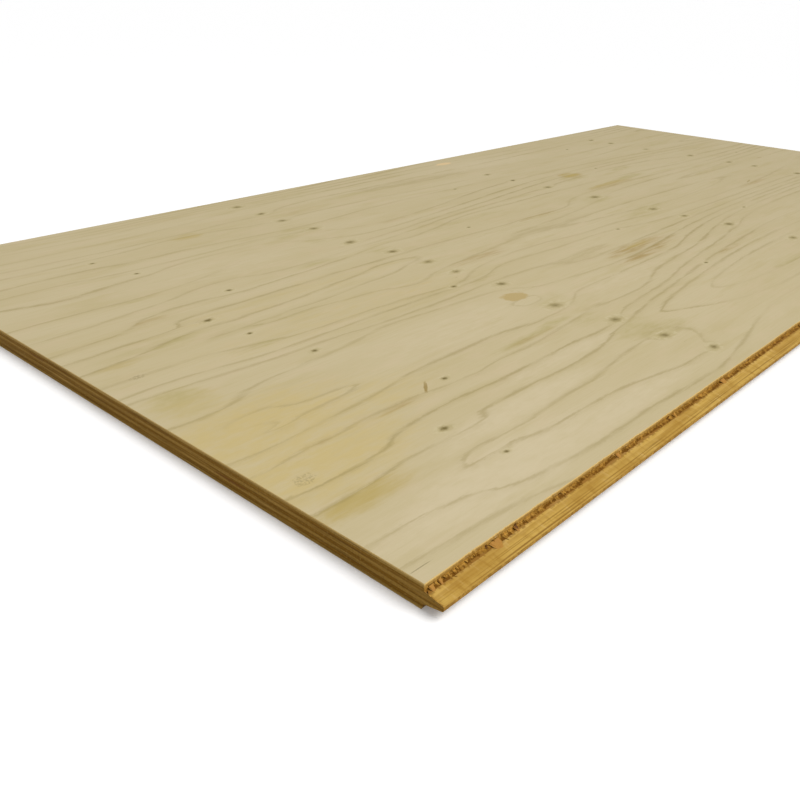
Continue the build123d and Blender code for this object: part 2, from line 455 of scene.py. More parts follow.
# (colour, strength, distance along, distance in, half length, half width)
stains_on_face = [
    ("tan", 0.8, 58, 135, 66, 19), ("tan", 0.5, 52, 124, 34, 14), ("olive", 0.9, 55, 432, 40, 38),
    ("amber", 0.6, 55, 432, 44, 42),
    ("amber", 0.80, 70, 215, 135, 66), ("amber", 0.80, 75, 320, 150, 74), ("amber", 0.50, 190, 285, 140, 66),
    ("brown", 0.5, 240, 246, 60, 7), ("brown", 0.45, 110, 247, 24, 6), ("brown", 0.55, 535, 258, 72, 6),
    ("olive", 1.0, 530, 258, 80, 9), ("olive", 0.9, 612, 267, 44, 8), ("tan", 0.40, 56, 584, 40, 17),
    ("olive", 0.3, 1000, 640, 180, 44), ("olive", 0.35, 800, 640, 140, 30),
    ("bleach", 0.6, 1500, 1100, 280, 50),
    ("olive", 0.75, 120, 606, 70, 12), ("olive", 0.6, 255, 513, 70, 12), ("olive", 0.6, 550, 732, 60, 12),
    ("olive", 0.5, 206, 788, 50, 11), ("brown", 0.45, 160, 696, 40, 16), ("olive", 0.45, 320, 573, 130, 12),
    ("olive", 0.4, 640, 552, 90, 16), ("olive", 0.4, 260, 966, 60, 10), ("olive", 0.35, 360, 962, 200, 16),
    ("amber", 0.30, 430, 520, 380, 60), ("amber", 0.28, 400, 640, 360, 50), ("olive", 0.3, 480, 920, 120, 18),
    ("brown", 0.55, 800, 556, 85, 16), ("brown", 0.4, 850, 575, 50, 9), ("olive", 0.6, 690, 165, 62, 40),
    ("olive", 0.5, 720, 130, 60, 30), ("olive", 0.45, 664, 242, 45, 26), ("olive", 0.4, 690, 330, 50, 24),
    ("olive", 0.5, 672, 930, 45, 40), ("olive", 0.45, 620, 905, 40, 20), ("olive", 0.4, 640, 848, 26, 30),
    ("olive", 0.4, 690, 715, 34, 22), ("olive", 0.35, 700, 470, 60, 30), ("tan", 0.6, 470, 1032, 36, 18),
    ("brown", 0.75, 1095, 378, 110, 28), ("brown", 0.7, 1050, 348, 90, 12),
    ("brown", 0.6, 1140, 665, 110, 12),
    ("tan", 0.6, 1105, 392, 60, 9), ("tan", 0.9, 1562, 722, 90, 10), ("tan", 0.9, 1576, 848, 34, 22),
    ("olive", 0.4, 950, 745, 200, 14), ("brown", 0.85, 1560, 716, 115, 14), ("olive", 0.7, 1680, 730, 80, 14),
    ("brown", 0.9, 1574, 846, 38, 26), ("olive", 0.5, 1550, 822, 60, 26), ("olive", 0.5, 1768, 804, 60, 16),
    ("olive", 0.5, 1420, 535, 80, 24), ("olive", 0.5, 1340, 505, 60, 18), ("olive", 0.5, 1380, 650, 60, 26),
    ("olive", 0.4, 1330, 700, 50, 30), ("olive", 0.35, 850, 1150, 160, 20),
    ("olive", 0.35, 1000, 1075, 260, 14), ("brown", 0.35, 870, 847, 50, 12),
    ("brown", 0.3, 760, 1030, 50, 20),
    ("bleach", 0.9, 200, 62, 190, 42), ("bleach", 0.8, 340, 140, 170, 22), ("bleach", 0.7, 430, 50, 200, 22),
    ("bleach", 0.6, 500, 188, 170, 16), ("bleach", 0.5, 480, 360, 190, 50),
    ("bleach", 0.5, 900, 305, 160, 30),
    ("bleach", 0.4, 420, 820, 160, 60), ("bleach", 0.4, 240, 560, 60, 10), ("bleach", 0.4, 950, 560, 160, 20),
    ("brown", 0.5, 1880, 470, 90, 12), ("olive", 0.5, 1250, 130, 120, 14), ("amber", 0.5, 1750, 200, 200, 40),
    ("olive", 0.4, 2230, 930, 110, 20), ("brown", 0.5, 1210, 250, 60, 10), ("olive", 0.4, 2000, 620, 160, 16),
]
print(len(stains_on_face), "soft stains in", len(stain_paints), "colours")

# %% [markdown]
# The map of ring numbers is a mean slope, plus waves that nearly repeat with each turn of the log,
# plus a bulge round each knot, plus a smooth correction that makes it fit the points read by eye. The
# correction is a weighted sum of bumps, one on each point, long along the grain and narrow across it.


# %% Ring numbers before any correction
MEAN_SPACING = 54.0
WAVES = 20
WAVE_RINGS = 1.25
WAVE_LENGTH = 520.0
KNOT_RINGS = 0.38
SWIRL_ALONG, SWIRL_ACROSS = 4.2, 1.9


def wrapped_waves(along, inward, seed, height, wavelength):
    """Smooth hills on the unrolled log, nearly the same again after each turn."""
    dice = np.random.default_rng(seed)
    turn = 2 * np.pi * inward / LOG_TURN
    total = np.zeros_like(along)
    for _ in range(WAVES):
        lengthwise = dice.normal(0, 1 / wavelength)
        round_cos, round_sin = dice.normal(0, 1.3, 2)
        drift = dice.normal(0, 0.5)
        start = dice.uniform(0, 2 * np.pi)
        angle = along * lengthwise + round_cos * np.cos(turn) + round_sin * np.sin(turn)
        total += np.cos(angle + drift * inward / LOG_TURN + start)
    return total * height * math.sqrt(2 / WAVES)


def knot_swirl(along, inward, knots):
    """The rings bulge round a knot, so the growth lines close round it."""
    total = np.zeros_like(along)
    for number, (at, deep, radius) in enumerate(knots):
        long_half, short_half = SWIRL_ALONG * radius, SWIRL_ACROSS * radius
        near = ((along - at) / long_half) ** 2 + ((inward - deep) / short_half) ** 2
        total += (KNOT_RINGS if number % 3 else -KNOT_RINGS) * np.exp(-near)
    return total


def loose_rings(along, inward, seed, knots):
    """The mean slope, the waves and the swirls together."""
    return (inward / MEAN_SPACING + wrapped_waves(along, inward, seed, WAVE_RINGS, WAVE_LENGTH)
            + knot_swirl(along, inward, knots))


centre_of_read_face = np.array([1000.0])
rings_there = loose_rings(centre_of_read_face, centre_of_read_face, 7, knots_on_face)
print("ring number a metre in, before correction:", rings_there.round(2))

# %% [markdown]
# How plainly the lines show is a second map. It follows the strengths given with the lines, and the
# lines fade beside a knot, where the fibres dive into the wood, and on the quiet ground.

# %% Faded lines and bumps
KNOT_FADE = 0.8
FADE_ALONG, FADE_ACROSS = 5.5, 4.0
QUIET_FADE = 0.95
BUMP_ALONG = 170.0
BUMP_ACROSS = 38.0


def lines_left(along, inward, knots, quiet):
    """Share of the growth lines left beside the knots and on quiet ground."""
    left = np.ones_like(along)
    faded = [(at, deep, FADE_ALONG * radius, FADE_ACROSS * radius, KNOT_FADE) for at, deep, radius in knots]
    faded += [(*place, QUIET_FADE) for place in quiet]
    for at, deep, long_half, short_half, lost in faded:
        near = ((along - at) / long_half) ** 2 + ((inward - deep) / short_half) ** 2
        left *= 1 - lost * np.exp(-near)
    return left


def bump(along, inward, at, deep):
    """One bump on each read point, for every place asked."""
    apart = np.sqrt(((along[:, None] - at) / BUMP_ALONG) ** 2
                    + ((inward[:, None] - deep) / BUMP_ACROSS) ** 2) * math.sqrt(3)
    return (1 + apart) * np.exp(-apart)


print("a bump reaches", BUMP_ALONG, "mm along the grain and", BUMP_ACROSS, "mm across it")

# %% [markdown]
# One class holds a veneer's whole figure. The weights of the bumps are worked out once, from how far
# the loose rings miss at the read points. After that the figure can be asked for anywhere.

# %% The figure of one veneer
GROUND_SHOW = 0.25
GIVE = 0.002
STEP_ALONG, STEP_ACROSS = 4.0, 2.0
GAP_LIMITS = (12.0, 110.0)
LOOSE_SHOW, LOOSE_SWING, LOOSE_LENGTH = 0.50, 0.30, 160.0
LOOSE_WEIGHT = 0.15


class FaceFigure:
    """Ring number, spacing and plainness of the growth lines, anywhere on one veneer."""

    def __init__(self, seed, knots, lines=(), ground=(), quiet=()):
        self.seed, self.knots, self.quiet = seed, knots, quiet
        points = [(*point, ring) for ring, _, _, row in lines for point in row]
        points += [(*point, ring) for ring, row in ground for point in row]
        self.read = np.array(points, float).reshape(-1, 3)
        shows = []
        for _, first, last, row in lines:
            shows += list(np.linspace(first, last, len(row)))
        shows += [GROUND_SHOW] * (len(points) - len(shows))
        self.shows = np.array(shows)
        if len(points):
            at, deep, ring = self.read.T
            miss = ring - loose_rings(at, deep, seed, knots)
            pull = bump(at, deep, at, deep) + GIVE * np.eye(len(at))
            self.weights = np.linalg.solve(pull, miss)

    def ring(self, along, inward):
        number = loose_rings(along, inward, self.seed, self.knots)
        if len(self.read):
            number = number + bump(along, inward, self.read[:, 0], self.read[:, 1]) @ self.weights
        return number

    def gap(self, along, inward):
        """Millimetres from one growth line to the next."""
        here = self.ring(along, inward)
        slope_along = self.ring(along + STEP_ALONG, inward) - here
        slope_across = self.ring(along, inward + STEP_ACROSS) - here
        steepness = np.hypot(slope_along / STEP_ALONG, slope_across / STEP_ACROSS)
        return here, np.clip(1 / np.maximum(steepness, 1e-4), *GAP_LIMITS)

    def plainness(self, along, inward):
        """How plainly a growth line shows, from 0 to 1."""
        loose = LOOSE_SHOW + wrapped_waves(along, inward, self.seed + 1, LOOSE_SWING, LOOSE_LENGTH)
        shown = np.clip(loose, 0.05, 1.0)
        if len(self.read):
            near = bump(along, inward, self.read[:, 0], self.read[:, 1]) ** 3
            shown = (near @ self.shows + LOOSE_WEIGHT * shown) / (near.sum(1) + LOOSE_WEIGHT)
        return shown * lines_left(along, inward, self.knots, self.quiet)


face_figure = FaceFigure(7, knots_on_face, growth_lines, plain_ground, quiet_ground)
print("face figure passes through", len(face_figure.read), "read points")

# %% [markdown]
# A veneer is a slab whose long edges follow the milled profile and whose ends are square. It could be
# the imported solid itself, but that has only a few large triangles, and torn wood needs many small
# ones. So each veneer is built again on the same outline: a belt of small faces round its four
# edges, closed by a top and a bottom. The belt's rows are at set heights, and at each height the
# profile says how far in the two long edges stand.


# %% Milled profile
def milled_depth(height_off_middle, root, reach, radius):
    """How far the tongue, or the air of the groove, reaches out at a height off the middle."""
    nose_half = root / 2 - flank_slope * reach
    blend = radius * math.tan((math.pi / 2 - flank_lean) / 2)
    off = abs(height_off_middle)
    if off <= nose_half - blend:
        return reach
    if off <= nose_half + blend * math.sin(flank_lean):
        return reach - radius + math.sqrt(max(radius**2 - (off - nose_half + blend) ** 2, 0))
    return max(root / 2 - off, 0) / flank_slope


def tongue_side(z):
    """Place of the tongue-side edge at height z."""
    depth = milled_depth(z - middle, tongue_root, tongue_reach, nose_radius)
    below_root = max(middle - tongue_root / 2 - z, 0) / (middle - tongue_root / 2)
    return shoulder_y - depth + lower_relief * below_root


def groove_side(z):
    """Place of the groove-side edge at height z."""
    root = tongue_root + 2 * joint_clearance
    return mouth_y - milled_depth(z - middle, root, tongue_reach + groove_spare, groove_corner)


print("groove floor", round(groove_side(middle), 4), "tongue tip", round(tongue_side(middle), 4))

# %% [markdown]
# The rows of the belt lie at every height where the profile turns, so its corners stay crisp. Between
# those they are about half a millimetre apart. The outer arris of the face and of the back is worn
# round, so more rows lie there.

# %% Heights of the belt's rows
ARRIS = 0.6 * MM
ROW_STEP = 0.55 * MM
ROW_LEAST = 0.03 * MM
ARRIS_ROWS = (1.0, 0.45, 0.12)


def row_heights(base, top, worn_top, worn_base):
    """Heights of the belt's rows: every corner of the profile, and even steps between."""
    nose_half = tongue_nose / 2
    turns = [0, nose_half - 1.5 * MM, nose_half, nose_half + 0.27 * MM, tongue_root / 2,
             tongue_root / 2 + joint_clearance, 2.1 * MM, 3.3 * MM]
    marks = {base, top}
    marks.update(middle + side * turn for turn in turns for side in (-1, 1))
    if worn_top:
        marks.update(top - share * ARRIS for share in ARRIS_ROWS)
    if worn_base:
        marks.update(base + share * ARRIS for share in ARRIS_ROWS)
    kept = sorted(mark for mark in marks if base - 1e-9 <= mark <= top + 1e-9)
    rows = [kept[0]]
    for mark in kept[1:]:
        if mark - rows[-1] < ROW_LEAST:
            continue
        steps = max(1, round((mark - rows[-1]) / ROW_STEP))
        rows += list(np.linspace(rows[-1], mark, steps + 1)[1:])
    rows[-1] = top
    return rows


face_low, face_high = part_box("face_veneer")
print("face veneer's belt has", len(row_heights(face_low.z, face_high.z, True, False)), "rows")

# %% [markdown]
# Each row is one loop of points round the veneer. The points lie closer together towards the near
# tongue corner, which the camera stands next to, so the torn wood is finest where it is seen best.

# %% Loops of the belt
COLUMNS_LONG = 1250
COLUMNS_SHORT = 420


def graded(count):
    """Shares from 0 to 1, closer together at the start, which is the near corner."""
    even = np.linspace(0, 1, count + 1)
    return even * (2 + even) / 3


def belt_loop(z, worn):
    """Points round the veneer at one height, anticlockwise from the near tongue corner."""
    low_y, high_y = tongue_side(z) + worn, groove_side(z) - worn
    end = half_length - worn
    along = -end + 2 * end * graded(COLUMNS_LONG)
    across = low_y + (high_y - low_y) * graded(COLUMNS_SHORT)
    sides = [
        np.column_stack([along[:-1], np.full(COLUMNS_LONG, low_y)]),
        np.column_stack([np.full(COLUMNS_SHORT, end), across[:-1]]),
        np.column_stack([along[:0:-1], np.full(COLUMNS_LONG, high_y)]),
        np.column_stack([np.full(COLUMNS_SHORT, -end), across[:0:-1]]),
    ]
    loop = np.vstack(sides)
    return np.column_stack([loop, np.full(len(loop), z)])


print("a loop has", len(belt_loop(middle, 0.0)), "points")

# %% [markdown]
# The top and the bottom of a veneer are grids of larger cells, because little happens there that the
# material can't do. Each grid ends a little inside the belt, and a strip of triangles stitches it to
# the belt's many points, so the mesh stays closed.


# %% Flats stitched to the belt
BORDER = 12 * MM


def loop_places(loop, counts):
    """How far round the rectangle each point of a loop is, with a whole number at each corner."""
    low, high = loop[:, :2].min(0), loop[:, :2].max(0)
    share_x, share_y = ((loop[:, :2] - low) / (high - low)).T
    shares = (share_x, share_y, 1 - share_x, 1 - share_y)
    ends = np.cumsum([0, *counts])
    return np.concatenate([side + shares[side][ends[side]:ends[side + 1]] for side in range(4)])


def stitch(outer, outer_at, inner, inner_at):
    """Triangles between two closed loops of different counts."""
    faces, i, j = [], 0, 0
    outer_at, inner_at = np.append(outer_at, 4.0), np.append(inner_at, 4.0)
    while i < len(outer) or j < len(inner):
        a, b = outer[i % len(outer)], inner[j % len(inner)]
        if j == len(inner) or (i < len(outer) and outer_at[i + 1] <= inner_at[j + 1]):
            i += 1
            faces.append((a, outer[i % len(outer)], b))
        else:
            j += 1
            faces.append((a, inner[j % len(inner)], b))
    return faces


def flat_grid(loop_start, loop, cell, upward, first_new):
    """A grid inside one loop, stitched to it: new points and faces."""
    (x0, y0), (x1, y1) = loop[:, :2].min(0) + BORDER, loop[:, :2].max(0) - BORDER
    columns, rows = round((x1 - x0) / cell), round((y1 - y0) / cell)
    xs, ys = np.linspace(x0, x1, columns + 1), np.linspace(y0, y1, rows + 1)
    grid_x, grid_y = np.meshgrid(xs, ys)
    points = np.column_stack([grid_x.ravel(), grid_y.ravel(), np.full(grid_x.size, loop[0, 2])])
    index = first_new + np.arange(grid_x.size).reshape(rows + 1, columns + 1)
    quads = np.stack([index[:-1, :-1], index[:-1, 1:], index[1:, 1:], index[1:, :-1]], -1)
    faces = [tuple(quad) for quad in quads.reshape(-1, 4).tolist()]
    rim = [*index[0, :-1], *index[:-1, -1], *index[-1, :0:-1], *index[:0:-1, 0]]
    outer = [loop_start + number for number in range(len(loop))]
    outer_at = loop_places(loop, (COLUMNS_LONG, COLUMNS_SHORT, COLUMNS_LONG, COLUMNS_SHORT))
    rim = [int(number) for number in rim]
    rim_at = loop_places(points[np.array(rim) - first_new], (columns, rows, columns, rows))
    faces += stitch(outer, outer_at, rim, rim_at)
    if not upward:
        faces = [face[::-1] for face in faces]
    return points, faces


print("flats start", round(BORDER / MM), "mm inside the belt")


# %% [markdown]
# With the heights, the loops and the flats at hand, a veneer is put together: the belt first, then
# the two flats. A worn arris is a quarter of a circle, so the loops near it step in along that curve.


# %% One veneer's mesh
def veneer_mesh(name, base, top, cells, worn_top=False, worn_base=False):
    """Closed mesh of one veneer, with its points and the sizes of its belt."""
    heights = row_heights(base, top, worn_top, worn_base)
    loops = []
    for z in heights:
        from_arris = min(top - z if worn_top else ARRIS, z - base if worn_base else ARRIS, ARRIS)
        worn = ARRIS - math.sqrt(ARRIS**2 - (ARRIS - from_arris) ** 2)
        loops.append(belt_loop(z, worn))
    count = len(loops[0])
    points = [np.vstack(loops)]
    faces = []
    for row in range(len(loops) - 1):
        here = row * count + np.arange(count)
        ahead = row * count + (np.arange(count) + 1) % count
        quads = np.stack([here, ahead, ahead + count, here + count], -1)
        faces += [tuple(quad) for quad in quads.tolist()]
    belt_faces = len(faces)
    total = len(points[0])
    underside = (0, loops[0], cells[0], False)
    upper_side = ((len(loops) - 1) * count, loops[-1], cells[1], True)
    for loop_start, loop, cell, upward in (underside, upper_side):
        new_points, new_faces = flat_grid(loop_start, loop, cell, upward, total)
        points.append(new_points)
        faces += new_faces
        total += len(new_points)
    places = np.vstack(points)
    mesh = bpy.data.meshes.new(name)
    mesh.from_pydata(places.tolist(), [], faces)
    return mesh, places, count, len(loops), belt_faces


crossband_low, crossband_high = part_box("centre_crossband")
print("rows of a crossband:", len(row_heights(crossband_low.z, crossband_high.z, False, False)))

# %% [markdown]
# The belt knows which way is into the wood, which of its faces cut across the fibres, and how deep
# the cutter may tear there. Those facts go onto the mesh as attributes, for the node tree and the
# materials to read.


# %% Facts stored on the mesh
def store(mesh, name, values, kind="FLOAT", domain="POINT"):
    """Put one named value on every point, or every face, of a mesh."""
    made = mesh.attributes.new(name, kind, domain)
    field = "vector" if kind == "FLOAT_VECTOR" else "value"
    made.data.foreach_set(field, np.asarray(values, np.float32).ravel())


def belt_sides(count):
    """For each point of a loop: whether it is on a long side, and the way into the wood."""
    first, second, third = COLUMNS_LONG, COLUMNS_LONG + COLUMNS_SHORT, 2 * COLUMNS_LONG + COLUMNS_SHORT
    long_side = np.zeros(count, bool)
    long_side[1:first] = True
    long_side[second + 1:third] = True
    inward = np.zeros((count, 3))
    inward[1:first, 1] = 1
    inward[first + 1:second, 0] = -1
    inward[second + 1:third, 1] = -1
    inward[third + 1:, 0] = 1
    return long_side, inward


loop_points = 2 * (COLUMNS_LONG + COLUMNS_SHORT)
print("points on the long sides:", belt_sides(loop_points)[0].sum(), "of", loop_points)

# %% [markdown]
# Some places on the milled edges are treated in their own way. The face veneer's edge is nibbled by
# the cutter. The crossband over the tongue thins out to a feather edge, and the veneer under that
# edge frays. Close to the sheet's two outermost edges no splinter is planted, because it would stand
# out past the sheet's own size.

# %% Places on the milled edges
SAW_DEPTH = 0.13 * MM
NIBBLED_BAND = 4.2 * MM
SPLINTER_FREE = 9 * MM
FEATHER_EASE = 1.2 * MM
NOSE_BAND = 2 * MM
FRAY_START = 1 * MM
FRAY_DEPTH = 1.5 * MM
fray_top = middle + tongue_root / 2 - 0.9 * MM


def edge_places(y, z, long_side, grain_along_x):
    """Shares from 0 to 1 for the four kinds of place, at every point of the belt."""
    along_fibres = long_side[None, :] & grain_along_x
    across_fibres = long_side[None, :] & (not grain_along_x)
    return {
        "fuzz": np.where(across_fibres, (abs(y) < mouth_y - SPLINTER_FREE) * 1.0, 0.0),
        "fray": np.clip(1 - (fray_top - z) / FRAY_DEPTH, 0, 1) * (y < shoulder_y - FRAY_START),
        "nibbled": (along_fibres & (z > thickness - NIBBLED_BAND) & (y < 0)) * 1.0,
        "feather": np.clip((shoulder_y - y) / FEATHER_EASE, 0, 1) * (y > nose_y + NOSE_BAND),
    }


def store_cut_facts(mesh, places, count, rows, belt_faces, grain_along_x, tear_depth):
    """Mark the belt: direction into the wood, end grain, and depth of tearing."""
    long_side, inward = belt_sides(count)
    on_flats = np.zeros(len(places) - rows * count)
    z = places[:rows * count, 2].reshape(rows, count)
    y = places[:rows * count, 1].reshape(rows, count)
    into_wood = np.vstack([np.tile(inward, (rows, 1)), np.zeros((len(on_flats), 3))])
    store(mesh, "into_wood", into_wood, "FLOAT_VECTOR")
    on_belt = {"tear": np.where(long_side[None, :], tear_depth(z, y), SAW_DEPTH)}
    on_belt.update(edge_places(y, z, long_side, grain_along_x))
    for name, values in on_belt.items():
        store(mesh, name, np.concatenate([values.ravel(), on_flats]))
    across_fibres = ~long_side if grain_along_x else long_side
    end_grain, cut, sawn = np.zeros((3, len(mesh.polygons)))
    end_grain[:belt_faces] = np.tile(across_fibres, rows - 1)
    cut[:belt_faces] = 1
    sawn[:belt_faces] = np.tile(~long_side, rows - 1)
    for name, values in (("end_grain", end_grain), ("cut", cut), ("sawn", sawn)):
        store(mesh, name, values, domain="FACE")


print("the feather edge is", round((fray_top - middle) / MM, 1), "mm over the middle of the sheet")

# %% [markdown]
# A material can't search a list, so each point of the mesh is told about the nearest knot or mark:
# where the point lies in it, in shares of its size, and its colour. Halfway between two of them that
# answer jumps, so a share fades each one out before the jump.

# %% Nearest knot or mark
KNOT_TONE = (138, 123, 78)
LARGE_KNOT = 5
FADE = 10
KNOT_REACH, MARK_REACH, REACH_MARGIN = 3.2, 1.1, 16
HALFWAY_MARGIN = 12


def spot_list(knots, marks):
    """Knots and marks alike: colour, share, place, half sizes, turn, and kind of spot."""
    dice = np.random.default_rng(len(knots))
    spots = []
    for at, deep, radius in knots:
        shade = dice.uniform(-8, 8) + (10 if radius > LARGE_KNOT else -18)
        colour = tuple(part + shade for part in KNOT_TONE)
        spots.append((colour, dice.uniform(0.85, 1.0), at, deep, radius * 1.35, radius * 1.0,
                      dice.uniform(-12, 12), 1.0))
    return spots + [(*mark, -1.0 if mark[0] == GREY else 0.0) for mark in marks]


def store_spots(mesh, along, inward, knots, marks):
    """For every point, where it is in the nearest knot or mark, and that one's colour."""
    nearest, second = np.full((2, len(along)), 1e9)
    spot_place, spot_colour = np.zeros((2, len(along), 3))
    spot_near, spot_share = np.zeros((2, len(along)))
    for colour, share, at, deep, long_half, short_half, turn, kind in spot_list(knots, marks):
        lean = math.radians(turn)
        right, up = along - at, inward - deep
        local_x = (right * math.cos(lean) + up * math.sin(lean)) / long_half
        local_y = (up * math.cos(lean) - right * math.sin(lean)) / short_half
        far = np.hypot(right, up)
        closer = far < nearest
        second = np.where(closer, nearest, np.minimum(second, far))
        nearest[closer] = far[closer]
        here = np.column_stack([local_x, local_y, np.full(len(along), kind)])
        spot_place[closer], spot_colour[closer] = here[closer], paint(*colour)[:3]
        spot_share[closer] = share
        reach = long_half * (KNOT_REACH if kind == 1 else MARK_REACH) + REACH_MARGIN
        spot_near = np.maximum(spot_near, np.clip((reach - far) / FADE, 0, 1))
    spot_near *= np.clip((second - nearest - HALFWAY_MARGIN) / FADE, 0, 1)
    store(mesh, "spot_place", spot_place, "FLOAT_VECTOR")
    store(mesh, "spot_colour", spot_colour, "FLOAT_VECTOR")
    store(mesh, "spot_share", spot_share)
    store(mesh, "spot_near", spot_near)


print(len(spot_list(knots_on_face, marks_on_face)), "spots on the face")


# %% [markdown]
# The figure is known in read millimetres, so each point's place is turned into those first. The
# rings, the spots and the stains are then stored, with one attribute for each colour of stain.


# %% Whole figure of a face
def store_figure(mesh, places, figure, marks, stains):
    """Ring numbers, knots, marks and stains, at every point of the mesh."""
    along = (places[:, 0] + half_length) / read_scale
    inward = (places[:, 1] - shoulder_y) / read_scale
    ring, gap = figure.gap(along, inward)
    store(mesh, "ring", ring)
    store(mesh, "ring_gap", gap)
    store(mesh, "ring_show", figure.plainness(along, inward))
    store_spots(mesh, along, inward, figure.knots, marks)
    for stain in stain_paints:
        total = np.zeros(len(along))
        for kind, strength, at, deep, long_half, short_half in stains:
            if kind == stain:
                far = ((along - at) / long_half) ** 2 + ((inward - deep) / short_half) ** 2
                # An oval that stays strong in the middle and drops off at its edge
                total = np.maximum(total, strength * np.exp(-0.7 * far**1.5))
        store(mesh, stain, total)


print("a read millimetre is", round(read_scale / MM, 4), "mm on the sheet")

# %% [markdown]
# A milling cutter shears fibres that run along the edge and leaves them smooth. Fibres that end at
# the edge have nothing behind them, so they break out in crumbs and leave splinters. This follows a
# rule over thousands of places, so it is a Geometry Nodes tree: it pushes the belt into the wood by a
# noisy depth, and plants splinters where the end grain is free to stand out. It is put together from
# small functions, one for each of its jobs.


# %% Inputs and facts of the tree
torn_sizes = {
    "Crumb Size": 2.7 * MM,
    "Patch Size": 60 * MM,
    "Break Length": 24 * MM,
    "Splinter Length": 4.2 * MM,
    "Splinter Radius": 0.42 * MM,
    "Splinters per Square Metre": 60000.0,
}
FIRST_SEED = 3


def add_sockets(tree):
    """Named inputs for the tree's sizes, its seed and its material."""
    sockets = tree.interface
    sockets.new_socket("Geometry", in_out="INPUT", socket_type="NodeSocketGeometry")
    for name, value in torn_sizes.items():
        socket = sockets.new_socket(name, in_out="INPUT", socket_type="NodeSocketFloat")
        socket.default_value = value
    seed = sockets.new_socket("Seed", in_out="INPUT", socket_type="NodeSocketInt")
    seed.default_value = FIRST_SEED
    sockets.new_socket("Wood", in_out="INPUT", socket_type="NodeSocketMaterial")
    sockets.new_socket("Geometry", in_out="OUTPUT", socket_type="NodeSocketGeometry")


def read_fact(w, name, kind="FLOAT"):
    """A value that was stored on the mesh."""
    made = w.node("GeometryNodeInputNamedAttribute", data_type=kind)
    made.inputs["Name"].default_value = name
    return made.outputs[0]


def keep_fact(w, geometry, name, value, domain):
    """Store a value on the geometry for the material."""
    made = w.node("GeometryNodeStoreNamedAttribute", data_type="FLOAT", domain=domain)
    made.inputs["Name"].default_value = name
    w.feed(geometry, made.inputs["Geometry"])
    w.feed(value, made.inputs["Value"])
    return made.outputs[0]


print("torn edge tree has", len(torn_sizes), "sizes")

# %% [markdown]
# Torn end grain looks like a wall of crumbs: each is taller than it is wide and torn to a depth of its
# own, with a pit round it. A Voronoi texture gives such cells. Larger patches of the edge are torn
# more or less, and the thin feather over the tongue breaks off in whole lengths, which gives it steps.

# %% Depth of the tearing
SEED_SHIFT = 7.31
CRUMB_SHARE, GRIT_SHARE = 0.82, 0.18
GRIT_FINENESS = 3.1


def crumb_depth(w, in_crumbs):
    """Each crumb's own depth, with a pit round it."""
    ripple = w.node("ShaderNodeTexNoise")
    w.feed(w.scaled(in_crumbs, 0.8), ripple.inputs["Vector"])
    tall = w.vector("MULTIPLY", in_crumbs, (1.0, 0.5, 0.5))
    bent = w.vector("ADD", tall, w.scaled(ripple.outputs["Color"], 0.9))
    cells = w.node("ShaderNodeTexVoronoi")
    cells.inputs["Scale"].default_value = 1.0
    w.feed(bent, cells.inputs["Vector"])
    own_depth = w.step(w.parts(cells.outputs["Color"])[0], 0.15, 0.95, 0.0, 0.8)
    rim_depth = w.step(cells.outputs["Distance"], 0.30, 0.75, 0.0, 0.5)
    return w.maths("MINIMUM", w.maths("ADD", own_depth, rim_depth), 1.0)


def length_depth(w, place, break_length):
    """One depth for each whole length along the edge."""
    lengths = w.node("ShaderNodeTexVoronoi", voronoi_dimensions="1D")
    lengths.inputs["Scale"].default_value = 1.0
    w.feed(w.maths("DIVIDE", w.parts(place)[0], break_length), lengths.inputs["W"])
    return w.step(w.parts(lengths.outputs["Color"])[0], 0.35, 0.95, 0.0, 1.2)


def torn_depth(w, given):
    """Depth of the crumbs alone, and of the crumbs, grit and broken lengths together."""
    shift = w.joined(w.maths("MULTIPLY", given["Seed"], SEED_SHIFT))
    place = w.vector("ADD", w.node("GeometryNodeInputPosition").outputs[0], shift)
    in_crumbs = w.scaled(place, w.maths("DIVIDE", 1.0, given["Crumb Size"]))
    in_patches = w.scaled(place, w.maths("DIVIDE", 1.0, given["Patch Size"]))
    crumbs = crumb_depth(w, in_crumbs)
    grit = w.noise(w.scaled(in_crumbs, GRIT_FINENESS), 1.0, 1.0)
    patch = w.step(w.noise(in_patches, 1.0, 2.5, 0.6), 0.38, 0.60, 0.15, 1.0)
    torn = w.maths("ADD", w.maths("MULTIPLY", crumbs, CRUMB_SHARE), w.maths("MULTIPLY", grit, GRIT_SHARE))
    torn = w.maths("MULTIPLY", torn, patch)
    steps = length_depth(w, place, given["Break Length"])
    return crumbs, w.maths("ADD", torn, w.maths("MULTIPLY", steps, read_fact(w, "feather")))


print("crumbs are about", round(torn_sizes["Crumb Size"] / MM, 1), "mm wide")

# %% [markdown]
# Splinters are slim cones that point out of the wood. Flakes are wider, lie flat, and are few. Both
# are one cone of four sides, planted at random points of the end grain, leant and stretched at random.

# %% Splinters and flakes
SPLINTER_SIDES = 4
SPLINTER_TIP = 0.02 * MM
LEAN_FROM, LEAN_TO = (-0.55, -0.2, -0.75), (0.55, 0.2, 0.15)
GROW_FROM, GROW_TO = (0.5, 0.5, 0.12), (1.8, 1.8, 1.0)
# (share of the full number, how much wider, how much flatter)
splinter_kinds = ((1.0, 1.0, 1.0), (0.12, 2.8, 0.4))


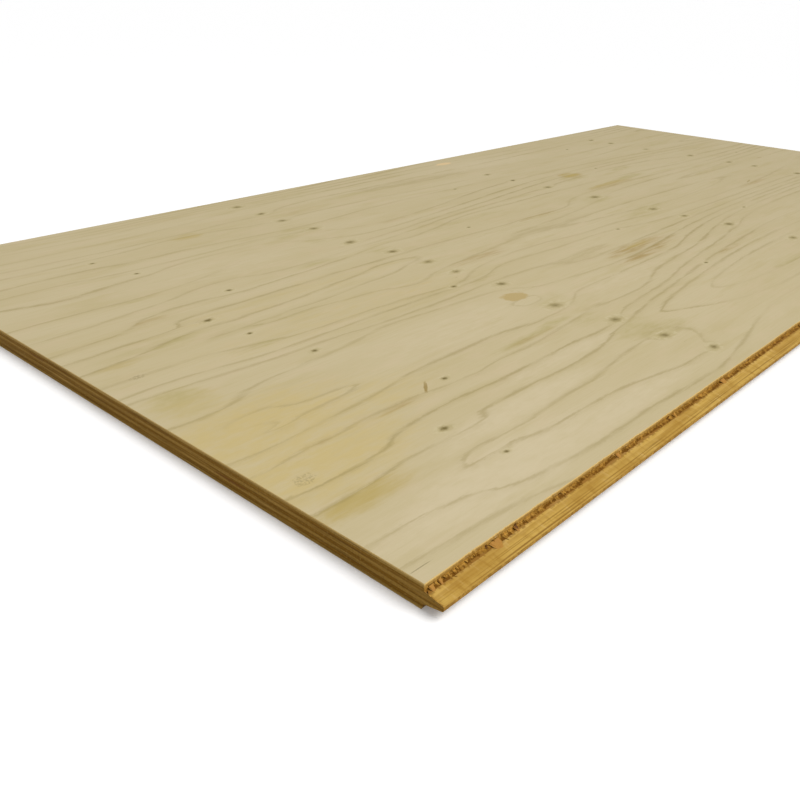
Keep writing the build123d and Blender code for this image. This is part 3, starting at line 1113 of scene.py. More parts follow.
def splinter_shape(w, given, widen, flatten):
    cone = w.node("GeometryNodeMeshCone")
    cone.inputs["Vertices"].default_value = SPLINTER_SIDES
    cone.inputs["Radius Top"].default_value = SPLINTER_TIP * widen
    w.feed(w.maths("MULTIPLY", given["Splinter Radius"], widen), cone.inputs["Radius Bottom"])
    w.feed(given["Splinter Length"], cone.inputs["Depth"])
    flat = w.node("GeometryNodeTransform")
    w.feed(cone.outputs["Mesh"], flat.inputs["Geometry"])
    flat.inputs["Scale"].default_value = (1.0, flatten, 1.0)
    return flat.outputs[0]


def random_vector(w, low, high, seed):
    made = w.node("FunctionNodeRandomValue", data_type="FLOAT_VECTOR")
    made.inputs[0].default_value = low
    made.inputs[1].default_value = high
    w.feed(seed, made.inputs["Seed"])
    return made.outputs[0]


def planted(w, given, belt, number, share, widen, flatten):
    """Plant one kind of splinter on the belt and mark it as torn end grain."""
    seed = w.maths("ADD", given["Seed"], number)
    scatter = w.node("GeometryNodeDistributePointsOnFaces", distribute_method="RANDOM")
    w.feed(belt, scatter.inputs["Mesh"])
    density = w.maths("MULTIPLY", given["Splinters per Square Metre"], share)
    w.feed(w.maths("MULTIPLY", read_fact(w, "fuzz"), density), scatter.inputs["Density"])
    w.feed(seed, scatter.inputs["Seed"])
    lean = random_vector(w, LEAN_FROM, LEAN_TO, seed)
    grow = random_vector(w, GROW_FROM, GROW_TO, w.maths("ADD", given["Seed"], 5 + number))
    aim = w.node("FunctionNodeAlignRotationToVector", axis="Z")
    w.feed(w.vector("SUBTRACT", lean, read_fact(w, "into_wood", "FLOAT_VECTOR")), aim.inputs["Vector"])
    made = w.node("GeometryNodeInstanceOnPoints")
    w.feed(scatter.outputs["Points"], made.inputs["Points"])
    w.feed(splinter_shape(w, given, widen, flatten), made.inputs["Instance"])
    w.feed(aim.outputs[0], made.inputs["Rotation"])
    w.feed(grow, made.inputs["Scale"])
    real = w.node("GeometryNodeRealizeInstances")
    w.feed(made.outputs[0], real.inputs["Geometry"])
    geometry = real.outputs[0]
    for name in ("end_grain", "cut", "splinter"):
        geometry = keep_fact(w, geometry, name, 1.0, "FACE")
    return geometry


print(len(splinter_kinds), "kinds of splinter")


# %% [markdown]
# The tree joins the parts. The belt is pushed in, splinters and flakes are planted on it, and all of
# it gets the wood's material. The splinters are made real faces, because an export drops instances.


# %% Torn edge tree
def torn_edge_tree():
    tree = bpy.data.node_groups.new("torn_edge", "GeometryNodeTree")
    add_sockets(tree)
    w = Wiring(tree)
    given = w.node("NodeGroupInput").outputs
    crumbs, torn = torn_depth(w, given)
    depth = w.maths("MULTIPLY", torn, read_fact(w, "tear"))
    moved = w.node("GeometryNodeSetPosition")
    w.feed(given["Geometry"], moved.inputs["Geometry"])
    w.feed(w.scaled(read_fact(w, "into_wood", "FLOAT_VECTOR"), depth), moved.inputs["Offset"])
    belt = keep_fact(w, moved.outputs[0], "torn", crumbs, "POINT")
    together = w.node("GeometryNodeJoinGeometry")
    w.feed(belt, together.inputs[0])
    for number, kind in enumerate(splinter_kinds):
        w.feed(planted(w, given, belt, number, *kind), together.inputs[0])
    wood = w.node("GeometryNodeSetMaterial")
    w.feed(together.outputs[0], wood.inputs["Geometry"])
    w.feed(given["Wood"], wood.inputs["Material"])
    w.feed(wood.outputs[0], w.node("NodeGroupOutput").inputs[0])
    return tree


torn_edge = torn_edge_tree()
torn_inputs = {item.name: item.identifier for item in torn_edge.interface.items_tree
               if item.in_out == "INPUT"}
print("torn edge tree has", len(torn_edge.nodes), "nodes")

# %% [markdown]
# One recipe makes all four kinds of pine. Its pattern is measured in millimetres along the grain,
# across it, and down through the thickness, so the same fibres can run along the sheet or across it.
# The recipe is written in layers, each a class that adds to the one before. The first layer measures
# the fibres and draws noise out along them.


# %% Fibres
class Fibres(Wiring):
    """Places in the wood, in millimetres, and noise drawn out along the fibres."""

    def __init__(self, tree, grain_along_x):
        super().__init__(tree)
        self.place = self.scaled(self.node("ShaderNodeTexCoord").outputs["Object"], 1 / MM)
        self.x, self.y, self.z = self.parts(self.place)
        self.across = self.y if grain_along_x else self.x
        self.fibre = self.joined(self.x if grain_along_x else self.y, self.across, self.z)
        self.fine = self.grain(38, 0.8, 0.9, 3.0, 0.6)
        self.medium = self.grain(150, 3.4, 2.2, 3.0, 0.55)
        self.broad = self.grain(420, 70, 26)

    def value(self, name):
        return self.attribute(name).outputs["Fac"]

    def times(self, *values):
        total = values[0]
        for value in values[1:]:
            total = self.maths("MULTIPLY", total, value)
        return total

    def plus(self, *values):
        total = values[0]
        for value in values[1:]:
            total = self.maths("ADD", total, value)
        return total

    def minus(self, first, second):
        return self.maths("SUBTRACT", first, second)

    def distance(self, first, second):
        return self.maths("ABSOLUTE", self.minus(first, second))

    def swing(self, noise, width):
        """Turn a noise from 0 to 1 into a shift of up to half the width either way."""
        return self.times(self.minus(noise, 0.5), width)

    def stretched(self, place, sizes, detail=2.0, roughness=0.5):
        """Noise whose lumps have three sizes, in millimetres."""
        return self.noise(self.vector("DIVIDE", place, sizes), 1.0, detail, roughness)

    def grain(self, length, width, depth, detail=2.0, roughness=0.5):
        """Noise drawn out along the fibres; its lumps' three sizes are in millimetres."""
        return self.stretched(self.fibre, (length, width, depth), detail, roughness)


print("fibre layer adds", *calls_of(Fibres))

# %% [markdown]
# The second layer knows the growth rings. On the face and on the back the ring number comes with the
# mesh, and it falls with depth, because the rings lie nearly flat in a peeled veneer. In the other
# veneers only the edges show, so slow waves are enough. A ring's line wanders a little, frays along
# the fibres, and is never quite whole.


# %% Growth rings
class RingedWood(Fibres):
    """Adds the ring number, and how far the nearest growth line is."""

    def rings(self, ring_height, ring_across, drift, face_level):
        if self.figured:
            drop = self.maths("DIVIDE", self.minus(self.z, face_level / MM), ring_height)
            self.number = self.plus(self.value("ring"), drop)
            gap, self.show = self.value("ring_gap"), self.value("ring_show")
        else:
            waves = self.times(self.grain(900, 150, 60), drift)
            self.number = self.plus(self.maths("DIVIDE", self.across, ring_across), waves,
                                    self.maths("DIVIDE", self.z, ring_height))
            gap, self.show = ring_across * 0.5, self.step(self.grain(240, 30, 20), 0.35, 0.65, 0.25, 0.8)
        off = self.minus(self.number, self.maths("ROUND", self.number))
        wander = self.swing(self.grain(34, 9, 9, 2.5, 0.6), 6.0)
        fray = self.swing(self.grain(70, 1.5, 1.5, 2.0, 0.6), 5.5)
        nibble = self.swing(self.grain(6, 3, 4, 2.0, 0.7), 4.0)
        self.off_line = self.plus(self.times(off, gap), wander, fray, nibble)

    def late_wood(self):
        """Share of the dense wood that ends each ring."""
        late = self.maths("FRACT", self.number)
        return self.times(self.step(late, 0.40, 0.92), self.step(late, 1.0, 0.94))

    def growth_lines(self):
        """Share of line colour: a soft band on each line, with a faint shade on one side of it."""
        width = self.step(self.grain(100, 20, 14), 0.3, 0.7, 2.6, 6.0)
        core = self.step(self.maths("DIVIDE", self.maths("ABSOLUTE", self.off_line), width), 1.1, 0.05)
        shade = self.times(self.step(self.off_line, -13.0, -1.0), self.step(self.off_line, 2.0, 0.0))
        whole = self.step(self.grain(95, 12, 14, 2.0, 0.6), 0.34, 0.52, 0.42, 1.0)
        return self.times(self.plus(self.times(core, 0.43), self.times(shade, 0.15)), self.show, whole)


print("ring layer adds", *calls_of(RingedWood))

# %% [markdown]
# The third layer paints the peeled face: plain ground in broad bands and blotches, the growth lines,
# fine streaks, and short dark dashes, which are resin canals. A stain soaks further along the fibres
# than across them, and stops at a growth line, where the wood is dense.


# %% Peeled face
class PeeledWood(RingedWood):
    """Adds the face that the knife leaves."""

    def peeled(self):
        tones = self.tones
        line = self.growth_lines()
        cloud = self.grain(190, 30, 30, 3.0, 0.6)
        blotch = self.grain(60, 24, 22)
        colour = self.mix(self.step(self.broad, 0.35, 0.65, 0.0, 0.40), tones.face, tones.streak)
        colour = self.mix(self.step(self.medium, 0.45, 0.75, 0.0, 0.26), colour, tones.streak)
        colour = self.mix(self.step(cloud, 0.50, 0.72, 0.0, 0.42), colour, tones.cloud)
        colour = self.mix(self.step(blotch, 0.50, 0.72, 0.0, 0.32), colour, tones.pink)
        self.relief = self.times(line, 0.5)
        if self.figured:
            colour = self.stained(colour)
        colour = self.mix(line, colour, tones.line)
        colour = self.mix(self.step(self.fine, 0.50, 0.80, 0.0, 0.14), colour, tones.line)
        canals = self.grain(7, 0.35, 0.4, 1.0)
        colour = self.mix(self.step(canals, 0.68, 0.80, 0.0, 0.16), colour, tones.cut_late)
        return self.spotted(colour) if self.figured else colour

    def stained(self, colour):
        """Soft stains with an edge roughened along the fibres."""
        ragged = self.swing(self.grain(40, 8, 9, 3.0, 0.6), 0.8)
        strands = self.step(self.grain(75, 4.5, 5), 0.36, 0.58, 0.30, 1.0)
        mottle = self.step(self.grain(34, 15, 15, 3.0, 0.6), 0.30, 0.60, 0.50, 1.0)
        before_line = self.step(self.maths("FRACT", self.number), 0.05, 0.70, 0.30, 1.0)
        textures = {"amber": mottle, "olive": self.times(mottle, before_line), "tan": before_line,
                    "brown": self.times(strands, before_line), "bleach": mottle}
        for stain, tone in stain_paints.items():
            amount = self.value(stain)
            edge = self.plus(amount, self.times(ragged, self.step(amount, 0.0, 0.3)))
            share = self.times(self.step(edge, 0.10, 0.90, 0.0, 0.95), textures[stain])
            colour = self.mix(share, colour, paint(*tone))
        return colour


print("peeled layer adds", *calls_of(PeeledWood))

# %% [markdown]
# The fourth layer adds the knots and the sharp marks. A knot has a blurred dark heart, a warm halo
# drawn out along the grain, and here and there a pale ring where the fibres part round it. A mark is
# crisp. A grey speck has gaps in it.

# %% Knots and marks on the face
HALO_TONE = paint(176, 161, 110)
PALE_RING_TONE = paint(210, 197, 158)
HEART_TONE = paint(98, 84, 50)


class SpottedWood(PeeledWood):
    """Adds the knots and the marks."""

    def spotted(self, colour):
        right, up, kind = self.parts(self.attribute("spot_place").outputs["Vector"])
        is_knot = self.maths("MAXIMUM", kind, 0.0)
        is_speck = self.maths("MAXIMUM", self.times(kind, -1.0), 0.0)
        near = self.times(self.value("spot_near"), self.value("spot_share"))
        outline = self.joined(self.times(right, 1.5), self.times(up, 1.5), self.times(self.across, 0.02))
        wobble = self.swing(self.noise(outline, 1.0, 3.0, 0.6), 1.1)
        colour = self.haloed(colour, right, up, wobble, self.times(near, is_knot))

        far = self.plus(self.vector("LENGTH", self.joined(right, up, 0.0)), wobble)
        soft, crisp = self.step(far, 1.50, 0.20), self.step(far, 1.18, 0.80)
        heart = self.plus(crisp, self.times(is_knot, self.minus(soft, crisp)))
        gaps = self.step(self.noise(self.place, 2.6, 1.5), 0.44, 0.58)
        heart = self.times(heart, self.plus(1.0, self.times(is_speck, self.minus(gaps, 1.0))))
        tone = self.attribute("spot_colour").outputs["Color"]
        tone = self.mix(self.times(self.step(far, 0.6, 0.1, 0.0, 0.30), is_knot), tone, HEART_TONE)
        self.relief = self.plus(self.relief, self.times(heart, near, is_knot, -0.8))
        return self.mix(self.times(heart, near), colour, tone)

    def haloed(self, colour, right, up, wobble, knot_near):
        """The halo and the pale ring round a knot."""
        around = self.vector("LENGTH", self.joined(self.times(right, 0.7), up, 0.0))
        around = self.plus(around, self.times(wobble, 1.6))
        halo = self.times(self.step(around, 2.4, 0.6, 0.0, 0.40), knot_near)
        colour = self.mix(halo, colour, HALO_TONE)
        patchy = self.step(self.noise(self.place, 9.0, 1.0), 0.42, 0.62, 0.0, 0.5)
        pale = self.step(self.distance(around, 1.7), 0.7, 0.05)
        return self.mix(self.times(pale, patchy, knot_near), colour, PALE_RING_TONE)


print("spotted layer adds", *calls_of(SpottedWood))

# %% [markdown]
# The fifth layer paints machined wood. Cut along the fibres it is smooth, with streaks of dense wood and the
# cutter's ripples, but it frays just under the torn crossband, where a ragged dark strip is partly glue left
# on the flank and partly painted shade. Cut across them it is rough: the ends of the fibres show as fine
# dots, and dark combs of painted shade stand between bundles of them.

# %% Wood cut along its fibres, and across them
CHIP_TONE = paint(168, 118, 56)
# How high over the floor a band of dark lines lies on the tongue, in millimetres
DARK_LINES_HEIGHT = 18.1


class CutWood(SpottedWood):
    """Adds the two directions of machined wood."""

    def along_fibres(self, late, milled):
        tones = self.tones
        fine_late = self.step(self.grain(120, 1.3, 1.3, 2.0, 0.6), 0.55, 0.72, 0.0, 0.6)
        streak = self.plus(self.times(late, 0.45), self.step(self.medium, 0.46, 0.8, 0.0, 0.4),
                           self.times(fine_late, self.step(self.broad, 0.4, 0.6)))
        colour = self.mix(self.maths("MINIMUM", streak, 1.0), tones.cut, tones.cut_late)
        colour = self.mix(self.step(self.fine, 0.48, 0.78, 0.0, 0.30), colour, tones.cut_late)
        ripples = self.grain(7, 26, 30, 3.0, 0.65)
        dark = self.times(self.step(ripples, 0.50, 0.68, 0.0, 0.55), milled)
        pale = self.times(self.step(ripples, 0.46, 0.30, 0.0, 0.45), milled)
        colour = self.mix(pale, self.mix(dark, colour, tones.cut_late), tones.pink)
        return colour if self.figured else self.frayed(colour)

    def frayed(self, colour):
        """Loose fibres under the torn crossband, a dark strip just under it that is partly glue and partly
        painted shade, and dark lines lower on the tongue.
        """
        tones, fray = self.tones, self.value("fray")
        loose = self.times(fray, self.step(self.grain(22, 4, 5, 3.0, 0.65), 0.40, 0.62))
        colour = self.mix(self.times(loose, 0.35), colour, tones.pink)
        # A ragged dark strip just under the torn crossband: partly glue left on the flank, partly painted
        # shade of the torn band.
        ragged_strip = self.step(self.grain(5, 8, 8, 2.0, 0.6), 0.48, 0.56)
        glue_and_shade = self.times(self.step(fray, 0.66, 0.92), ragged_strip)
        colour = self.mix(self.times(glue_and_shade, 0.6), colour, tones.line)
        level = self.step(self.distance(self.z, DARK_LINES_HEIGHT), 0.9, 0.5)
        dark_lines = self.step(self.grain(160, 1.7, 9, 2.0, 0.6), 0.50, 0.62)
        return self.mix(self.times(level, dark_lines, 0.75), colour, tones.line)

    def across_fibres(self, late, milled, comb, feather):
        tones, splinter = self.tones, self.value("splinter")
        self.dots = self.grain(9.0, 0.6, 0.4)
        late_share = self.times(late, self.plus(self.times(milled, 0.35), 0.15))
        colour = self.mix(late_share, tones.end, tones.end_late)
        colour = self.mix(self.step(self.dots, 0.40, 0.75, 0.0, 0.40), colour, tones.end_late)
        # Painted shade: dark combs in the crevices between bundles of fibres.
        colour = self.mix(self.times(comb, self.plus(self.times(feather, 0.3), 0.3)), colour, tones.pit)
        patchy = self.step(self.noise(self.place, 3.0, 1.0), 0.3, 0.7, 0.1, 0.9)
        colour = self.mix(self.times(splinter, patchy), colour, tones.end)
        return self.mix(self.step(splinter, 1.2, 1.8, 0.0, 0.85), colour, CHIP_TONE)


print("cut layer adds", *calls_of(CutWood))

# %% [markdown]
# The sixth layer adds what is seen only on the edges of the sheet: deep holes where a bundle of the
# crossband's fibres broke out, knots cut through by the end saw, the saw's strands and specks, and the dark
# glue lines. The holes and the sawn knots are few, so they are listed, and the near ones were read off the
# photograph.

# %% Holes, sawn knots and glue lines
# The holes are only painted: each is a dark ragged spot of painted shade, as a deep hole would hold.
# (place along in read millimetres, then in true ones depth under the face, half length, half height)
torn_holes = [
    (135, 5.0, 3.0, 2.6), (89, 6.6, 2.6, 1.6), (214, 6.2, 3.4, 1.4), (318, 4.6, 3.0, 2.2),
    (455, 6.0, 4.0, 1.8), (702, 5.0, 4.0, 2.0), (1130, 5.6, 4.0, 2.0), (1820, 5.2, 4.0, 2.0),
]
# (distance in from the shoulder, depth under the face, half length, half height), in millimetres
sawn_knots = [(268, 16.2, 32, 2.4), (690, 8.6, 22, 1.8), (905, 20.0, 26, 2.2), (1090, 12.0, 18, 1.6)]
ply_low, ply_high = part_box("upper_crossband")
glue_start = ply_low.z / MM
glue_step = (ply_high.z - ply_low.z) / MM
# The hole tone is painted shade; the glue and sawn knot tones are the wood's own.
HOLE_SHADE_TONE, GLUE_TONE, SAWN_KNOT_TONE = paint(84, 46, 14), paint(92, 60, 18), paint(128, 72, 26)
SAW_DARK_TONE, SAW_PALE_TONE = paint(112, 78, 22), paint(222, 182, 104)


class EdgedWood(CutWood):
    """Adds the painted shade of the holes, the saw's marks and the glue lines."""

    def ragged_spot(self, along, place, down, long_half, short_half):
        """Share of an uneven spot on an edge of the sheet, at a depth under its face."""
        right = self.maths("DIVIDE", self.minus(along, place), long_half)
        up = self.maths("DIVIDE", self.minus(self.z, thickness / MM - down), short_half)
        uneven = self.swing(self.noise(self.place, 3.0, 2.0), 0.9)
        return self.step(self.plus(self.vector("LENGTH", self.joined(right, up, 0.0)), uneven), 1.15, 0.55)

    def holes(self):
        """Share of the painted shade of the deep holes on the tongue side; the holes are only painted, not
        cut.
        """
        total = 0.0
        for at, *spot in torn_holes:
            place = (at * read_scale - half_length) / MM
            total = self.maths("MAXIMUM", total, self.ragged_spot(self.x, place, *spot))
        return self.times(total, self.step(self.y, 0.0, -10.0), 0.85)

    def sawn_marks(self, colour, sawn):
        """The saw leaves strands of pale and dark wood, specks, and knots cut through."""
        strands = self.stretched(self.place, (110.0, 110.0, 1.3), 3.0, 0.62)
        specks = self.noise(self.place, 2.6, 4.0, 0.78)
        dark = self.maths("MAXIMUM", self.step(strands, 0.50, 0.64, 0.0, 0.60),
                          self.step(specks, 0.52, 0.68, 0.0, 0.60))
        pale = self.maths("MAXIMUM", self.step(strands, 0.45, 0.32, 0.0, 0.45),
                          self.step(specks, 0.45, 0.30, 0.0, 0.50))
        colour = self.mix(self.times(dark, sawn), colour, SAW_DARK_TONE)
        colour = self.mix(self.times(pale, sawn), colour, SAW_PALE_TONE)
        for inward, *spot in sawn_knots:
            knot = self.ragged_spot(self.y, shoulder_y / MM + inward, *spot)
            colour = self.mix(self.times(knot, sawn, 0.55), colour, SAWN_KNOT_TONE)
        return colour

    def glued(self, colour, sawn):
        """A dark line at each joint between veneers, plainer on the sawn ends."""
        from_glue = self.maths("PINGPONG", self.minus(self.z, glue_start), glue_step / 2)
        from_glue = self.plus(from_glue, self.times(self.noise(self.place, 1.8, 2.0), 0.4))
        share = self.times(self.step(from_glue, 0.50, 0.22), self.plus(self.times(sawn, 0.35), 0.12))
        return self.mix(share, colour, GLUE_TONE)


print(len(torn_holes), "holes and", len(sawn_knots), "sawn knots, glue every", round(glue_step, 2), "mm")

# %% [markdown]
# The last layer puts the machined surface together, and joins it to the peeled face by the stored
# share "cut". It also gives the wood its fine relief and the dull sheen of unpolished pine. Numbers
# that are the same all over are set straight on the shader.

# %% Pine recipe
# The machined wood is painted lighter next to the peeled face: a painted highlight, as if the worn arris
# caught the light.
ARRIS_HIGHLIGHT_TONE = paint(228, 194, 122)
DULL = 0.12
RELIEF_STRENGTH = 0.35
RELIEF_DEPTH = 0.25 * MM


class PineRecipe(EdgedWood):
    """Builds one pine material. A kind with a face level has the peeled figure on that face."""

    def __init__(self, name, grain_along_x, tones, ring_height, ring_across=0, drift=0, face_level=None):
        self.material = bpy.data.materials.new(name)
        self.material.use_nodes = True
        super().__init__(self.material.node_tree, grain_along_x)
        self.tones, self.figured, self.face_level = tones, face_level is not None, face_level
        self.rings(ring_height, ring_across, drift, face_level)
        shader = self.tree.nodes["Principled BSDF"]
        is_cut = self.value("cut")
        colour = self.mix(is_cut, self.peeled(), self.machined())
        self.feed(colour, shader.inputs["Base Color"])
        self.surface(shader, is_cut)

    def machined(self):
        """The sawn ends and the milled edges: cut along the fibres, or across them."""
        tones, late = self.tones, self.late_wood()
        sawn, end_share = self.value("sawn"), self.value("end_grain")
        nibbled, feather = self.value("nibbled"), self.value("feather")
        milled = self.minus(1.0, sawn)
        comb_place = self.joined(self.maths("DIVIDE", self.across, 1.7), self.maths("DIVIDE", self.z, 6.0))
        comb = self.times(self.step(self.noise(comb_place, 1.0, 3.0, 0.6, 0.8), 0.46, 0.66), milled)
        # Painted shade: the combs darken the nibbled edge of the face a little.
        along = self.mix(self.times(comb, nibbled, 0.22), self.along_fibres(late, milled), tones.pit)
        colour = self.mix(end_share, along, self.across_fibres(late, milled, comb, feather))
        heart = self.stretched(self.place, (90.0, 90.0, 5.0))
        colour = self.mix(self.step(heart, 0.46, 0.66, 0.0, 0.45), colour, tones.end_late)

        # Painted shade: the pits between the crumbs catch no light, so they are darkened, most on the feather
        # over the tongue, and the whole feather gets a flat painted shade besides
        depth = self.times(end_share, self.plus(self.times(feather, 0.25), 0.45))
        depth = self.plus(depth, self.times(nibbled, 0.25))
        pit = self.plus(self.times(self.step(self.value("torn"), 0.15, 0.85), depth),
                        self.times(feather, end_share, 0.46))
        colour = self.mix(self.times(pit, milled), colour, tones.pit)
        # Painted shade of the deep holes.
        colour = self.mix(self.times(self.holes(), milled), colour, HOLE_SHADE_TONE)
        colour = self.sawn_marks(colour, sawn)
        if self.figured:
            # Painted highlight: a pale band along the arris of the peeled face.
            from_arris = self.distance(self.z, self.face_level / MM)
            colour = self.mix(self.step(from_arris, 2.4, 0.2, 0.0, 0.85), colour, ARRIS_HIGHLIGHT_TONE)
        return self.glued(colour, sawn)

    def surface(self, shader, is_cut):
        """Fine relief and an unpolished sheen."""
        height = self.plus(self.times(self.fine, 0.5), self.times(self.medium, 0.5), self.relief,
                           self.times(self.dots, is_cut, 0.8))
        bumps = self.node("ShaderNodeBump")
        bumps.inputs["Strength"].default_value = RELIEF_STRENGTH
        bumps.inputs["Distance"].default_value = RELIEF_DEPTH
        self.feed(height, bumps.inputs["Height"])
        self.feed(bumps.outputs[0], shader.inputs["Normal"])
        self.feed(self.step(self.medium, 0.3, 0.8, 0.58, 0.74), shader.inputs["Roughness"])
        shader.inputs["Specular IOR Level"].default_value = DULL


print("pine recipe ready, in", len(PineRecipe.__mro__) - 2, "layers")

# %% [markdown]
# The four kinds differ only in their tones and in their rings. The face was picked pale and clear, and the
# back is warmer. The crossbands are browner where the cutter tore them, and the inner veneers are golden
# where it cut them clean. Each kind's pit tone is painted shade, laid in the pits and crevices of torn wood.


# %% Tones
class Tones:
    """The colours of one kind of pine, each given as a screen shows it."""

    def __init__(self, **tones):
        for name, tone in tones.items():
            setattr(self, name, paint(*tone))


face_tones = Tones(
    face=(203, 188, 150), streak=(194, 178, 134), cloud=(190, 174, 126), pink=(207, 188, 153),
    line=(156, 139, 88), cut=(206, 167, 90), cut_late=(180, 140, 66), end=(200, 159, 80),
    end_late=(178, 134, 52), pit=(118, 80, 20))
crossband_tones = Tones(
    face=(152, 108, 46), streak=(136, 94, 36), cloud=(142, 98, 40), pink=(200, 166, 120),
    line=(112, 76, 26), cut=(158, 112, 26), cut_late=(132, 90, 14), end=(206, 160, 74),
    end_late=(180, 133, 48), pit=(114, 74, 10))
inner_tones = Tones(
    face=(160, 116, 50), streak=(140, 98, 38), cloud=(148, 104, 42), pink=(214, 180, 112),
    line=(130, 92, 34), cut=(200, 163, 80), cut_late=(164, 124, 50), end=(188, 145, 64),
    end_late=(160, 117, 38), pit=(98, 68, 27))
back_tones = Tones(
    face=(196, 166, 118), streak=(180, 146, 96), cloud=(176, 146, 92), pink=(200, 164, 118),
    line=(140, 108, 62), cut=(176, 138, 78), cut_late=(142, 104, 52), end=(188, 145, 64),
    end_late=(166, 122, 42), pit=(94, 64, 25))
print("each kind has", len(vars(face_tones)), "tones")

# %% The four kinds of pine
# Ring height and ring width are in millimetres, and the drift is in rings
pines = {
    "face_pine": PineRecipe("face_pine", True, face_tones, 3.1, face_level=thickness),
    "crossband_pine": PineRecipe("crossband_pine", False, crossband_tones, 2.7, ring_across=70, drift=6),
    "inner_pine": PineRecipe("inner_pine", True, inner_tones, 3.3, ring_across=30, drift=2),
    "back_pine": PineRecipe("back_pine", True, back_tones, 2.9, face_level=0.0),
}
for slot, pine in pines.items():
    print(slot, "has", len(pine.tree.nodes), "nodes")

# %% [markdown]
# How deep the cutter tears depends on where it cuts. Along the fibres it leaves hardly a mark. Across
# them it tears deepest on the thin feather of wood that runs out over the tongue, less on the
# shoulder and in the groove, and least on the nose, where the veneer is held on both sides.

# %% Depth of tearing by place
SMOOTH_DEPTH, NIBBLE_DEPTH = 0.12 * MM, 0.9 * MM
FEATHER_DEPTH, SHOULDER_DEPTH = 1.9 * MM, 1.4 * MM
NOSE_DEPTH, GROOVE_DEPTH = 0.7 * MM, 1.0 * MM
ROOT_MARGIN = 0.15 * MM


def smooth_tear(z, y):
    """Cut along the fibres: hardly a mark, but the face veneer's edge is nibbled."""
    return np.where((z > thickness - NIBBLED_BAND) & (y < 0), NIBBLE_DEPTH, SMOOTH_DEPTH)


def crossband_tear(z, y):
    """Cut across the fibres: feather, shoulder, nose and groove."""
    on_tongue_side = y < 0
    feather = on_tongue_side & (abs(z - middle) < tongue_root / 2 + ROOT_MARGIN)
    off_nose = y > nose_y + NOSE_BAND
    depth = np.where(feather & off_nose, FEATHER_DEPTH, SHOULDER_DEPTH)
    return np.where(on_tongue_side & ~off_nose, NOSE_DEPTH, np.where(on_tongue_side, depth, GROOVE_DEPTH))


print("deepest tear", round(FEATHER_DEPTH / MM, 1), "mm")

# %% [markdown]
# The back isn't in the photograph. It gets a figure of its own from the same rules: knots in rows,
# more and larger than on the picked face, a few checks, a streak of pitch, and stains.

# %% Figure of the back
KNOT_ROWS = (260, 905, 1570, 2210)


def grown_knots(seed, pin_knots):
    """Knots of a veneer that the photograph doesn't show: the same kind of rows, other places."""
    dice = np.random.default_rng(seed)
    knots = []
    for row in KNOT_ROWS:
        for at in np.arange(40, 1160, 105):
            knots.append((row + dice.normal(0, 9), at + dice.normal(0, 20), dice.uniform(7, 13)))
    for _ in range(pin_knots):
        knots.append((dice.uniform(60, 2380), dice.uniform(60, 1150), dice.uniform(3, 5)))
    return knots


back_figure = FaceFigure(23, grown_knots(31, 18))
back_marks = [(CRACK, 0.7, 420, 300, 90, 1.0, 0), (CRACK, 0.6, 1300, 820, 120, 1.1, 1),
              (PITCH, 0.8, 1840, 540, 40, 4, 6), (CRACK, 0.6, 2050, 180, 80, 1.0, 0)]
back_stains = [("amber", 0.7, 300, 420, 150, 30), ("olive", 0.6, 1100, 700, 180, 24),
               ("brown", 0.8, 1700, 250, 120, 30), ("brown", 0.6, 2150, 900, 130, 26)]
print(len(back_figure.knots), "knots on the back")

# %% [markdown]
# Here and there a whole chip of the upper crossband still hangs over the tongue by a few fibres. The
# ones near the camera can be made out in the photograph, so the chips are listed and built one by one
# from a small outline: one ring of points on the flank, and a smaller ring above it, both rising where
# the chip is still held.

# %% Hanging chips
# (place along in read millimetres, then width and drop in true ones)
hanging_chips = [(8, 6, 5.5), (20, 4, 5), (100, 15, 9.5), (134, 5, 6), (331, 7, 6), (470, 5, 6),
                 (612, 12, 7), (905, 8, 6), (1260, 10, 8), (1702, 9, 6), (2110, 12, 8)]
# (share of the width, share of the drop) at each corner of a chip
chip_outline = [(-0.5, 0.0), (-0.3, 0.8), (0.15, 1.0), (0.46, 0.55), (0.5, 0.0)]
CHIP_THICKNESS = 1.2 * MM
CHIP_START = 0.4 * MM
CHIP_RISE = 1.6 * MM
CHIP_SINK = 0.1 * MM
CHIP_TOP_SIZE = 0.75
CHIP_THINNING = 0.4
# What the material reads on a chip: 2 in "splinter" tells it from the planted splinters
chip_facts = {"end_grain": 1.0, "cut": 1.0, "splinter": 2.0}


def chip_rings(grown, along, width, drop):
    """The ring of points that lies on the wood, and the smaller ring above it."""
    down = Vector((0, -math.cos(flank_lean), -math.sin(flank_lean)))
    up = Vector((0, -math.sin(flank_lean), math.cos(flank_lean)))
    start_z = middle + tongue_root / 2 - flank_slope * CHIP_START
    start = Vector((along * read_scale - half_length, shoulder_y - CHIP_START, start_z))
    rings = []
    for lift, size in ((-CHIP_SINK, 1.0), (CHIP_THICKNESS, CHIP_TOP_SIZE)):
        ring = []
        for across, fall in chip_outline:
            place = start + Vector((across * width * MM * size, 0, 0)) + down * (fall * drop * MM * size)
            place.z += CHIP_RISE * (1 - fall) ** 2
            ring.append(grown.verts.new(place + up * (lift * (1 - CHIP_THINNING * fall))))
        rings.append(ring)
    return rings


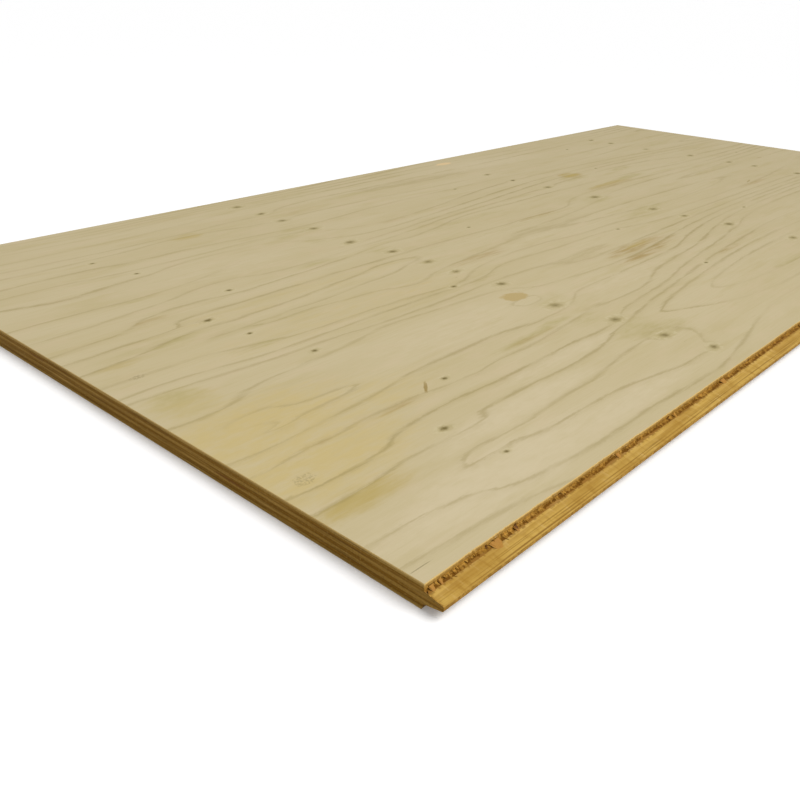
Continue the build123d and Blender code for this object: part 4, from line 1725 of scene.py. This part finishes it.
def hang_chips(mesh, chips):
    """Add each chip to the mesh as a small closed slab of the same wood."""
    grown = bmesh.new()
    grown.from_mesh(mesh)
    grown.faces.ensure_lookup_table()
    wood_slot = grown.faces[0].material_index
    layers = {grown.faces.layers.float[name]: value for name, value in chip_facts.items()}
    sides = len(chip_outline)
    new_faces = []
    for chip in chips:
        low, high = chip_rings(grown, *chip)
        new_faces += [grown.faces.new(low[::-1]), grown.faces.new(high)]
        for side in range(sides):
            ahead = (side + 1) % sides
            new_faces.append(grown.faces.new((low[side], low[ahead], high[ahead], high[side])))
    for face in new_faces:
        face.material_index = wood_slot
        for layer, value in layers.items():
            face[layer] = value
    bmesh.ops.recalc_face_normals(grown, faces=new_faces)
    grown.to_mesh(mesh)
    grown.free()


print(len(hanging_chips), "hanging chips")

# %% [markdown]
# Now the seven veneers are laid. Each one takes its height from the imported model, gets its belt and
# flats, its facts, and the torn edge tree. The tree's result is turned into a plain mesh. It stands
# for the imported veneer, which stays hidden for the physics.


# %% Lay one veneer
def torn_mesh(node, mesh, material):
    """Run the torn edge tree on a blank, and keep what it makes as a plain mesh."""
    blank = bpy.data.objects.new(node + "_blank", mesh)
    bpy.context.collection.objects.link(blank)
    edge = blank.modifiers.new("torn_edge", "NODES")
    edge.node_group = torn_edge
    edge[torn_inputs["Seed"]] = FIRST_SEED + len(node)
    edge[torn_inputs["Wood"]] = material
    seen = blank.evaluated_get(bpy.context.evaluated_depsgraph_get())
    finished = bpy.data.meshes.new_from_object(seen)
    finished.name = node + "_wood"
    bpy.data.objects.remove(blank)
    return finished


def lay(node, slot, cells, figure=None, marks=(), stains=(), **worn):
    """Make one veneer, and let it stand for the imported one."""
    grain_along_x = slot != "crossband_pine"
    low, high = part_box(node)
    mesh, places, count, rows, belt_faces = veneer_mesh(node + "_wood", low.z, high.z, cells, **worn)
    tear_depth = smooth_tear if grain_along_x else crossband_tear
    store_cut_facts(mesh, places, count, rows, belt_faces, grain_along_x, tear_depth)
    if figure:
        store_figure(mesh, places, figure, marks, stains)
    finished = torn_mesh(node, mesh, pines[slot].material)
    if node == "upper_crossband":
        hang_chips(finished, hanging_chips)
    veneer = bpy.data.objects.new(node + "_wood", finished)
    bpy.context.collection.objects.link(veneer)
    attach(veneer, "root")
    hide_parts(node)
    triangles = sum(len(face.vertices) - 2 for face in finished.polygons)
    corners = np.array([vertex.co for vertex in finished.vertices]) / MM
    print(node, triangles, "triangles, from", corners.min(0).round(2), "to", corners.max(0).round(2), "mm")
    return triangles


# %% [markdown]
# A flat that is glued to its neighbour is never seen, so its cells are coarse. The face and the back
# carry the figure at their points, so theirs are finer, and the face's are the finest, because the
# camera stands close to it.

# %% The seven veneers, from the bottom up
COARSE_CELL = 30 * MM
FACE_CELL = 8 * MM
BACK_CELL = FACE_CELL * 1.5

total = lay("back_veneer", "back_pine", (BACK_CELL, COARSE_CELL), back_figure, back_marks, back_stains,
            worn_base=True)
for node in ("lower_crossband", "lower_inner_veneer", "centre_crossband", "upper_inner_veneer",
             "upper_crossband"):
    slot = "crossband_pine" if "crossband" in node else "inner_pine"
    total += lay(node, slot, (COARSE_CELL, COARSE_CELL))
total += lay("face_veneer", "face_pine", (COARSE_CELL, FACE_CELL), face_figure, marks_on_face,
             stains_on_face, worn_top=True)
print("whole sheet", total, "triangles")

# %% [markdown]
